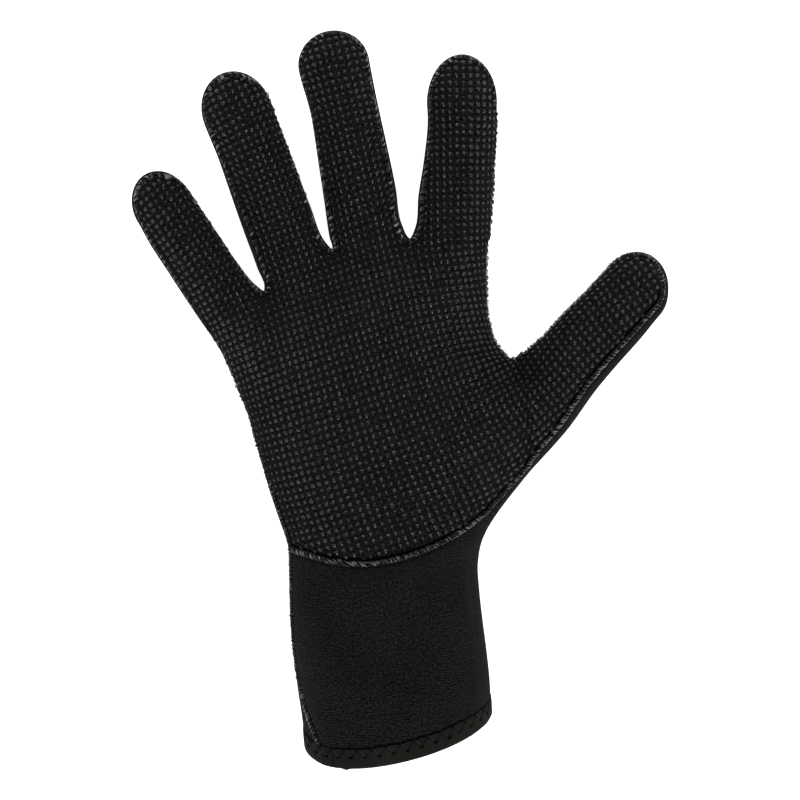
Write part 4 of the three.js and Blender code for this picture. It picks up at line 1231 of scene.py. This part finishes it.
# Distances along the palm panel's seam, to tell the fingers, the thumb and the palm's end apart.
loop_l = seam_line(palm_loop, True)[2]
where = {int(k): i for i, k in enumerate(palm_loop)}
thumb_from = loop_l[where[int(palm[web_i, -1])]]
cuff_from, cuff_mid = loop_l[where[int(palm[-1, -1])]], loop_l[where[int(palm[-1, ACROSS // 2 - 4])]]
outer_to = loop_l[where[int(palm[web_i, 0])]]


def palm_pitch(s):
    p = np.full(np.shape(s), 2.3)
    p = np.where((s > thumb_from) & (s <= cuff_from), 1.35, p)
    low = 1.3 + 1.0 * smooth((s - cuff_mid + 6) / 12) - 0.9 * smooth((s - loop_l[-1] + 17) / 8)
    p = np.where(s < outer_to, 1.45, p)
    return np.where(s > cuff_from, low, p)


def palm_slant(s):
    low = -1.3 - 1.3 * smooth((s - cuff_mid + 6) / 12) + 1.2 * smooth((s - loop_l[-1] + 17) / 8)
    return np.where(s > cuff_from, low, -1.0)


# The palm seam's first and last loops, under the side seam, are painted darker, a painted shade; along the wrist all
# its loops are a little darker.
loop_end = loop_l[-1]
v, q, t, tone = overlock(palm_loop, True, -1.0, palm_pitch, palm_slant, 0.3, 11,
                         shade_along=lambda s: np.maximum(0.9 * smooth((4.2 - np.minimum(s, loop_end - s)) / 2), 0.24 * (s > cuff_from)))
v[:, 2] = np.maximum(v[:, 2], 0.02)
seam_thread = mesh_object("seam_thread", v, [q, t], None, {"tone": tone})
v, q, t, tone = overlock(side_line, False, 1.0, lambda s: np.full(np.shape(s), 1.35), lambda s: np.full(np.shape(s), 0.5), 0.75, 12, 0.85)
v[:, 2] = np.maximum(v[:, 2], 0.02)
side_thread = mesh_object("side_seam_thread", v, [q, t], None, {"tone": tone})

# ---- hem -------------------------------------------------------------------------------------------
# The binding's ring, sampled evenly, and the way along the cuff from it.
ring_p, ring_n = np.vstack([ring_rest, ring_rest[:1]]), NRM[ring_ids]
M = 900
ring_s = np.arange(M) * ring_l[-1] / M
rp = np.stack([np.interp(ring_s, ring_l, ring_p[:, k]) for k in range(3)], 1)
rn = unit(np.stack([np.interp(ring_s, ring_l, ring_n[:, k]) for k in range(3)], 1))
for _ in range(12):
    rn = unit(0.25 * np.roll(rn, 1, 0) + 0.5 * rn + 0.25 * np.roll(rn, -1, 0))
step3 = unit(np.array([*RIM_STEP, 0.0]))
along = unit(step3 - rn * (rn @ step3)[:, None])
band = HEM["band"]
PROUD = 0.25   # how far the band stands proud of the cuff outside
section = ([(0.45, 1.3), (0.45, 0.7), (0.48, 0.30), (0.58, 0.0), (0.80, -0.18)]
           + [(a, -PROUD) for a in np.linspace(1.1, band - 1.5, 20)]
           + [(band - 1.1, -PROUD + 0.05), (band - 0.75, -0.05), (band - 0.42, 0.25), (band - 0.17, 0.62), (band - 0.04, 1.05),
              (band, WALL / 2), (band - 0.04, WALL - 1.05), (band - 0.2, WALL - 0.5), (band - 0.6, WALL - 0.1),
              (band - 1.2, WALL + 0.25), (band - 2.2, WALL + 0.42), (3.4, WALL + 0.42), (1.6, WALL + 0.42), (0.7, WALL + 0.3), (0.45, WALL)])
sec = np.array(section)
hole_off, hole_wide, hole_deep = 0.30 * rng.standard_normal(zig_n), rng.uniform(0.9, 1.9, zig_n), rng.uniform(0.55, 1.0, zig_n)


def pits(s, a):
    """How deep the needle holes and the thread's pull go at a place on the band. The same amounts darken the binding's
    colour, a painted shade.
    """
    x = s / zig_pitch
    low = (x - np.floor(x) - 0.5) * zig_pitch
    top = (x - np.round(x)) * zig_pitch
    hole = np.floor(x).astype(int) % zig_n
    d_low = np.hypot((low - hole_off[hole]) / hole_wide[hole], (a - ZIG["low"] - 0.5 * hole_off[hole]) * 1.1)
    d_top = np.hypot(top, a - ZIG["top"])
    tri = np.abs(2 * (x - np.round(x)))
    line = ZIG["top"] + (ZIG["low"] - ZIG["top"]) * tri
    off = (a - line) / math.hypot(1, (ZIG["low"] - ZIG["top"]) / (zig_pitch / 2))
    joint = np.abs(s - joint_s)
    joint = np.minimum(joint, ring_l[-1] - joint)
    return (hole_deep[hole] * np.exp(-(d_low / 0.55) ** 2) + 0.35 * np.exp(-(d_top / 0.7) ** 2)
            + 0.16 * np.exp(-(off / 0.5) ** 2) * (a < ZIG["low"] + 0.6)
            + 0.45 * np.exp(-(joint / 0.3) ** 2))


joint_s = ring_l[np.argmin(np.hypot(ring_p[:ACROSS, 0] + 24.2 , 0))]
hem_v, hem_uv, hem_pit_shade = [], [], []
arc = np.concatenate([[0], np.cumsum(np.linalg.norm(np.diff(sec, axis=0), axis=1))])
for k, (a, deep) in enumerate(sec):
    outer_face = deep < 0.2 and a < band - 0.9
    pit = pits(ring_s, a) if outer_face else np.zeros(M)
    swell = 0.06 * np.sin(2 * math.pi * ring_s / 31.0) + 0.05 * np.sin(2 * math.pi * ring_s / 17.3 + 1.0)
    wave = edge_wave(ring_s) * smooth((1.9 - a) / 1.2) if deep < WALL / 2 else 0.0
    # The strip's under end peeps out a little past the joint.
    lip = 0.45 * np.exp(-((ring_s - joint_s - 4.6) / 1.1) ** 2) * smooth((a - band + 1.6) / 1.4)
    hem_v.append(rp + along * (a + wave + lip)[:, None] - rn * (deep + pit + (swell if deep < 0.2 else 0))[:, None])
    hem_uv.append(np.stack([ring_s, np.full(M, arc[k])], 1))
    hem_pit_shade.append(pit)
hem_v = np.stack(hem_v, 1).reshape(-1, 3)
hem_uv = np.stack(hem_uv, 1).reshape(-1, 2)
hem_pit_shade = np.stack(hem_pit_shade, 1).ravel()
S = len(sec)
i, k = np.meshgrid(np.arange(M), np.arange(S), indexing="ij")
a, b = i * S + k, i * S + (k + 1) % S
c, e = ((i + 1) % M) * S + (k + 1) % S, ((i + 1) % M) * S + k
hem_q = np.stack([a, b, c, e], -1).reshape(-1, 4)
hem_v[:, 2] = np.maximum(hem_v[:, 2], 0.02)
hem_tape = mesh_object("hem_tape", hem_v, hem_q, hem_uv, {"pit": hem_pit_shade})


def band_point(s, a, h):
    s = np.mod(s, ring_l[-1])
    f = s / ring_l[-1] * M
    i0 = np.floor(f).astype(int) % M
    w = (f - np.floor(f))[..., None]
    i1 = (i0 + 1) % M
    pos, n, al = (x[i0] * (1 - w) + x[i1] * w for x in (rp, rn, along))
    return pos + al * a[..., None] + n * h[..., None]


paths, yarn_tone = [], []
for off in (-0.16, 0.16):
    for sgn in (0, 1):
        if sgn == 1 and off > 0:
            continue
        m = 9
        f = np.linspace(0, 1, m)
        s0 = (np.arange(zig_n) * zig_pitch)[:, None]
        s = s0 + (f * zig_pitch / 2 if sgn == 0 else zig_pitch - f * zig_pitch / 2) + off
        a = ZIG["top"] - 0.1 + (ZIG["low"] - ZIG["top"] + 0.1) * f[None] + np.zeros_like(s)
        h = PROUD + 0.04 - pits(s, a) + 0.04 - 0.45 * (np.exp(-(f / 0.12) ** 2) + np.exp(-((1 - f) / 0.12) ** 2))[None]
        paths.append(band_point(s, a, h))
        yarn_tone.append(np.full(zig_n * m * 6, 0.74 if sgn == 0 and off > 0 else 0.12))
v, q, t = tubes(np.concatenate(paths), 0.11, 6)
v[:, 2] = np.maximum(v[:, 2], 0.02)
hem_thread = mesh_object("hem_thread", v, [q, t], None, {"tone": np.concatenate(yarn_tone)})

# ---- materials --------------------------------------------------------------------------------------
def material(name):
    m = bpy.data.materials.new(name)
    m.use_nodes = True
    nt = m.node_tree
    nt.nodes.clear()
    out = nt.nodes.new("ShaderNodeOutputMaterial")
    bs = nt.nodes.new("ShaderNodeBsdfPrincipled")
    nt.links.new(bs.outputs[0], out.inputs[0])
    return m, nt, bs


class Net:
    def __init__(self, nt):
        self.nt = nt

    def node(self, kind, **props):
        n = self.nt.nodes.new(kind)
        for k, v in props.items():
            setattr(n, k, v)
        return n

    def put(self, socket, value):
        if hasattr(value, "is_output") or hasattr(value, "links"):
            self.nt.links.new(value, socket)
        else:
            socket.default_value = value

    def math(self, op, a, b=0.0, c=0.0, clamp=False):
        n = self.node("ShaderNodeMath", operation=op, use_clamp=clamp)
        self.put(n.inputs[0], a)
        self.put(n.inputs[1], b)
        if op in ("MULTIPLY_ADD", "SMOOTH_MIN", "SMOOTH_MAX"):
            self.put(n.inputs[2], c)
        return n.outputs[0]

    def noise(self, vec, scale, detail=2.0, rough=0.5, dims="3D"):
        n = self.node("ShaderNodeTexNoise", noise_dimensions=dims)
        self.put(n.inputs["Vector"], vec)
        n.inputs["Scale"].default_value = scale
        n.inputs["Detail"].default_value = detail
        n.inputs["Roughness"].default_value = rough
        return n.outputs["Fac"]

    def ramp(self, fac, stops):
        n = self.node("ShaderNodeValToRGB")
        self.put(n.inputs[0], fac)
        cr = n.color_ramp
        while len(cr.elements) < len(stops):
            cr.elements.new(0.5)
        for el, (pos, col) in zip(cr.elements, stops):
            el.position = pos
            el.color = (*col, 1) if len(col) == 3 else col
        return n.outputs[0]

    def bump(self, height, strength, distance):
        n = self.node("ShaderNodeBump")
        self.put(n.inputs["Height"], height)
        n.inputs["Strength"].default_value = strength
        n.inputs["Distance"].default_value = distance
        return n.outputs[0]

    def uv(self):
        n = self.node("ShaderNodeUVMap", uv_map="fabric")
        s = self.node("ShaderNodeSeparateXYZ")
        self.nt.links.new(n.outputs[0], s.inputs[0])
        return n.outputs[0], s.outputs[0], s.outputs[1]

    def attr(self, name):
        return self.node("ShaderNodeAttribute", attribute_name=name).outputs["Fac"]


def scaled(g, col, amount):
    """The colour times a number from 0 to 1."""
    n = g.node("ShaderNodeMix", data_type="RGBA", blend_type="MULTIPLY")
    n.inputs[0].default_value = 1.0
    g.put(n.inputs[6], col)
    cmb = g.node("ShaderNodeCombineColor")
    for s in range(3):
        g.put(cmb.inputs[s], amount)
    g.put(n.inputs[7], cmb.outputs[0])
    return n.outputs[2]


def fabric_finish(bs, specular, sheen, sheen_tint):
    bs.inputs["Roughness"].default_value = 0.9
    bs.inputs["Specular IOR Level"].default_value = specular
    bs.inputs["Sheen Weight"].default_value = sheen
    bs.inputs["Sheen Roughness"].default_value = 0.5
    bs.inputs["Sheen Tint"].default_value = (*sheen_tint, 1)


def knit(name, tone, course, wale, rib, sheen, gain, tint=(1, 1, 1)):
    """Fine jersey: ribs along the courses, small loops along each rib, fuzz and soft clouds."""
    m, nt, bs = material(name)
    g = Net(nt)
    vec, u, v = g.uv()
    wob = g.math("SUBTRACT", g.noise(vec, 0.30, 2), 0.5)
    vw = g.math("MULTIPLY_ADD", wob, course * 1.6, v)
    rows = g.math("SINE", g.math("MULTIPLY", vw, 2 * math.pi / course))
    uw = g.math("MULTIPLY_ADD", g.noise(vec, 1.1, 1), wale * 0.8, u)
    cols = g.math("ABSOLUTE", g.math("SINE", g.math("MULTIPLY", uw, math.pi / wale)))
    patchy = g.math("MULTIPLY_ADD", g.noise(vec, 0.11, 2, 0.6), 1.6, -0.25, clamp=True)
    fuzz = g.math("SUBTRACT", g.noise(vec, 2.3, 3, 0.75), 0.5)
    coarse = g.math("SUBTRACT", g.noise(vec, 1.15, 2, 0.6), 0.5)
    height = g.math("ADD", g.math("MULTIPLY", g.math("MULTIPLY", g.math("MULTIPLY", rows, rib), g.attr("rib")), patchy),
                    g.math("MULTIPLY_ADD", cols, 0.25, g.math("MULTIPLY_ADD", coarse, 4.6, g.math("MULTIPLY", fuzz, 3.0))))
    cloud = g.math("SUBTRACT", g.noise(vec, 0.045, 3, 0.6), 0.5)
    lint = g.math("MULTIPLY_ADD", g.noise(vec, 1.7, 1, 0.5), 5.0, -3.35, clamp=True)
    fac = g.math("ADD", g.math("MULTIPLY_ADD", height, gain, 0.42), g.math("MULTIPLY_ADD", cloud, 0.4, g.math("MULTIPLY", lint, 0.35)), clamp=True)
    col = g.ramp(fac, [(0.0, tuple(tone * 0.12 * t for t in tint)), (0.5, tuple(tone * t for t in tint)),
                       (1.0, tuple(tone * 3.0 * t for t in tint))])
    # Painted shade: the colour is darkened along the seams, in the web's crease and on the tongue by the shade
    # attribute.
    keep = g.math("MULTIPLY_ADD", g.attr("painted_shade"), -0.92, 1.0, clamp=True)
    g.put(bs.inputs["Base Color"], scaled(g, col, keep))
    fabric_finish(bs, 0.0, sheen, (0.42, 0.42, 0.44))
    g.put(bs.inputs["Normal"], g.bump(height, 0.6, 0.00016))
    return m


grip_mat = knit("grip_jersey", 0.0061, 0.62, 0.55, 0.40, 0.04, 0.85)
plain_mat = knit("plain_jersey", 0.0087, 0.85, 0.60, 1.3, 0.08, 0.46)

m, nt, bs = material("grip_rubber")
g = Net(nt)
tn = g.attr("tone")
coord = g.node("ShaderNodeTexCoord").outputs["Object"]
speck = g.noise(coord, 2600.0, 2, 0.6)
g.put(bs.inputs["Base Color"], g.ramp(g.math("ADD", g.math("MULTIPLY", tn, 0.5), g.math("MULTIPLY", speck, 0.5)),
                                     [(0.2, (0.0004, 0.0004, 0.0004)), (0.9, (0.0020, 0.0020, 0.00205))]))
g.put(bs.inputs["Roughness"], g.math("MULTIPLY_ADD", speck, 0.07, g.math("MULTIPLY_ADD", g.attr("dull"), 0.36, 0.06)))
bs.inputs["Specular IOR Level"].default_value = 0.5
g.put(bs.inputs["Normal"], g.bump(speck, 0.15, 0.00006))
dot_mat = m


def thread(name, dark, light, sheen, rough=0.5, specular=0.35, fleck=0.0):
    m, nt, bs = material(name)
    g = Net(nt)
    coord = g.node("ShaderNodeTexCoord").outputs["Object"]
    fib = g.noise(coord, 3200.0, 3, 0.7)
    big = g.noise(coord, 110.0, 2, 0.5)
    tone = g.attr("tone")
    fac = g.math("ADD", g.math("MULTIPLY", fib, 0.25), g.math("MULTIPLY_ADD", big, 0.20, g.math("MULTIPLY", tone, 0.60)))
    if fleck:
        fac = g.math("ADD", fac, g.math("MULTIPLY_ADD", g.noise(coord, 1500.0, 2, 0.6), fleck, -fleck / 2))
    g.put(bs.inputs["Base Color"], g.ramp(fac, [(0.30, (dark,) * 3), (0.80, (light,) * 3)]))
    bs.inputs["Roughness"].default_value = rough
    bs.inputs["Specular IOR Level"].default_value = specular
    bs.inputs["Sheen Weight"].default_value = sheen
    bs.inputs["Sheen Roughness"].default_value = 0.4
    bs.inputs["Sheen Tint"].default_value = (0.6, 0.6, 0.62, 1)
    g.put(bs.inputs["Normal"], g.bump(fib, 0.4, 0.0001))
    return m


seam_mat = thread("seam_yarn", 0.004, 0.300, 0.08, fleck=0.75)
hem_yarn = thread("hem_yarn", 0.003, 0.060, 0.01, 0.8, 0.08)

m, nt, bs = material("hem_jersey")
g = Net(nt)
vec, u, v = g.uv()
ticks = g.math("SINE", g.math("MULTIPLY_ADD", g.noise(vec, 0.5, 1), 1.2, g.math("MULTIPLY", u, 2 * math.pi / 0.92)))
low_edge = g.math("MULTIPLY_ADD", v, 0.45, -2.2, clamp=True)
fuzz = g.math("SUBTRACT", g.noise(vec, 2.2, 3, 0.75), 0.5)
rows = g.math("SINE", g.math("MULTIPLY", v, 2 * math.pi / 0.7))
height = g.math("ADD", g.math("MULTIPLY", ticks, g.math("MULTIPLY_ADD", low_edge, 0.34, 0.03)),
                g.math("MULTIPLY_ADD", rows, 0.12, g.math("MULTIPLY", fuzz, 2.4)))
cloud = g.math("SUBTRACT", g.noise(vec, 0.06, 2, 0.5), 0.5)
lint = g.math("MULTIPLY_ADD", g.noise(vec, 1.5, 1, 0.5), 5.0, -3.2, clamp=True)
fac = g.math("ADD", g.math("MULTIPLY_ADD", height, 0.50, 0.42), g.math("MULTIPLY_ADD", cloud, 0.6, g.math("MULTIPLY", lint, 0.35)), clamp=True)
grey = g.ramp(fac, [(0.0, (0.004, 0.004, 0.0041)), (0.5, (0.0134, 0.0136, 0.0139)), (1.0, (0.040, 0.0405, 0.041))])
olive = g.ramp(fac, [(0.0, (0.004, 0.0041, 0.003)), (0.5, (0.0139, 0.0149, 0.0098)), (1.0, (0.040, 0.0425, 0.029))])
patches = g.math("MULTIPLY_ADD", g.noise(vec, 0.13, 2, 0.55), 5.0, -2.2, clamp=True)
both = g.node("ShaderNodeMix", data_type="RGBA")
g.put(both.inputs[0], patches)
g.put(both.inputs[6], grey)
g.put(both.inputs[7], olive)
base = both.outputs[2]
# Painted shade: the binding is darker in its needle holes, along the thread's pull and at its joint, where it also
# dips.
keep = g.math("MULTIPLY_ADD", g.attr("pit"), -1.25, 1.0, clamp=True)
g.put(bs.inputs["Base Color"], scaled(g, base, keep))
fabric_finish(bs, 0.05, 0.04, (0.42, 0.42, 0.37))
g.put(bs.inputs["Normal"], g.bump(height, 0.6, 0.00016))
hem_mat = m

for o, mat, node, slot in ((grip_panel, grip_mat, "palm_panel", "grip_neoprene"),
                           (plain_panel, plain_mat, "back_panel", "plain_neoprene"),
                           (hem_tape, hem_mat, "hem_binding", "hem_tape"),
                           *((o, dot_mat, None, "grip_dots") for o in grip_dots),
                           (seam_thread, seam_mat, None, "thread"),
                           (side_thread, seam_mat, None, "thread"),
                           (hem_thread, hem_yarn, None, "thread")):
    o.data.materials.append(mat)
    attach(o, "root")
    if node:
        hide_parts(node)

# ---- floor, light and camera ------------------------------------------------------------------------
FLOOR_GLOW, WORLD = 0.95, 0.06
STUDIO = [
    # name, azimuth, elevation, width and height in m, radiance
    ("near", -78, 42, (0.90, 0.60), 26.0),
    ("left", 160, 38, (1.95, 0.30), 4.3),
    ("left_far", 115, 38, (1.95, 0.30), 11.4),
    ("right_far", 70, 38, (1.95, 0.30), 10.4),
    ("right", 25, 38, (1.95, 0.30), 4.1),
]
bpy.ops.mesh.primitive_plane_add(size=8, location=(0, 0, -0.0003))
floor = bpy.context.object
floor.name = "floor"
m, nt, bs = material("floor_white")
bs.inputs["Base Color"].default_value = (0.9, 0.9, 0.9, 1)
bs.inputs["Roughness"].default_value = 0.9
bs.inputs["Specular IOR Level"].default_value = 0.0
bs.inputs["Emission Color"].default_value = (1, 1, 1, 1)
bs.inputs["Emission Strength"].default_value = FLOOR_GLOW
floor.data.materials.append(m)

world = bpy.data.worlds.new("studio")
bpy.context.scene.world = world
world.use_nodes = True
world.node_tree.nodes["Background"].inputs[0].default_value = (1, 1, 1, 1)
world.node_tree.nodes["Background"].inputs[1].default_value = WORLD


def softbox(name, azimuth, elevation, size, radiance, reach=2.6):
    """A panel that faces the glove. Its radiance doesn't depend on how large it is."""
    a, e = math.radians(azimuth), math.radians(elevation)
    at = Vector((math.cos(a) * math.cos(e), math.sin(a) * math.cos(e), math.sin(e))) * reach
    light = bpy.data.lights.new(name, "AREA")
    light.shape = "RECTANGLE"
    light.size, light.size_y = size
    light.energy = radiance * math.pi * size[0] * size[1]
    o = bpy.data.objects.new(name, light)
    o.location = at
    o.rotation_euler = (-at).to_track_quat("-Z", "Y").to_euler()
    o.visible_camera = False
    bpy.context.scene.collection.objects.link(o)


for name, azimuth, elevation, size, radiance in STUDIO:
    softbox(name, azimuth, elevation, size, radiance)

cam = bpy.data.cameras.new("camera")
cam.sensor_fit = "HORIZONTAL"
cam.sensor_width = 36
cam.lens = 36 / (2 * math.tan(math.radians(14.06) / 2))
cam.clip_start, cam.clip_end = 0.05, 20
co = bpy.data.objects.new("camera", cam)
co.location = (-CENTRE[0] * MM, -CENTRE[1] * MM, 1.22)
co.rotation_euler = (0, 0, 0)
bpy.context.scene.collection.objects.link(co)
bpy.context.scene.camera = co
bpy.context.scene.view_settings.view_transform = "Standard"
bpy.context.scene.view_settings.look = "None"
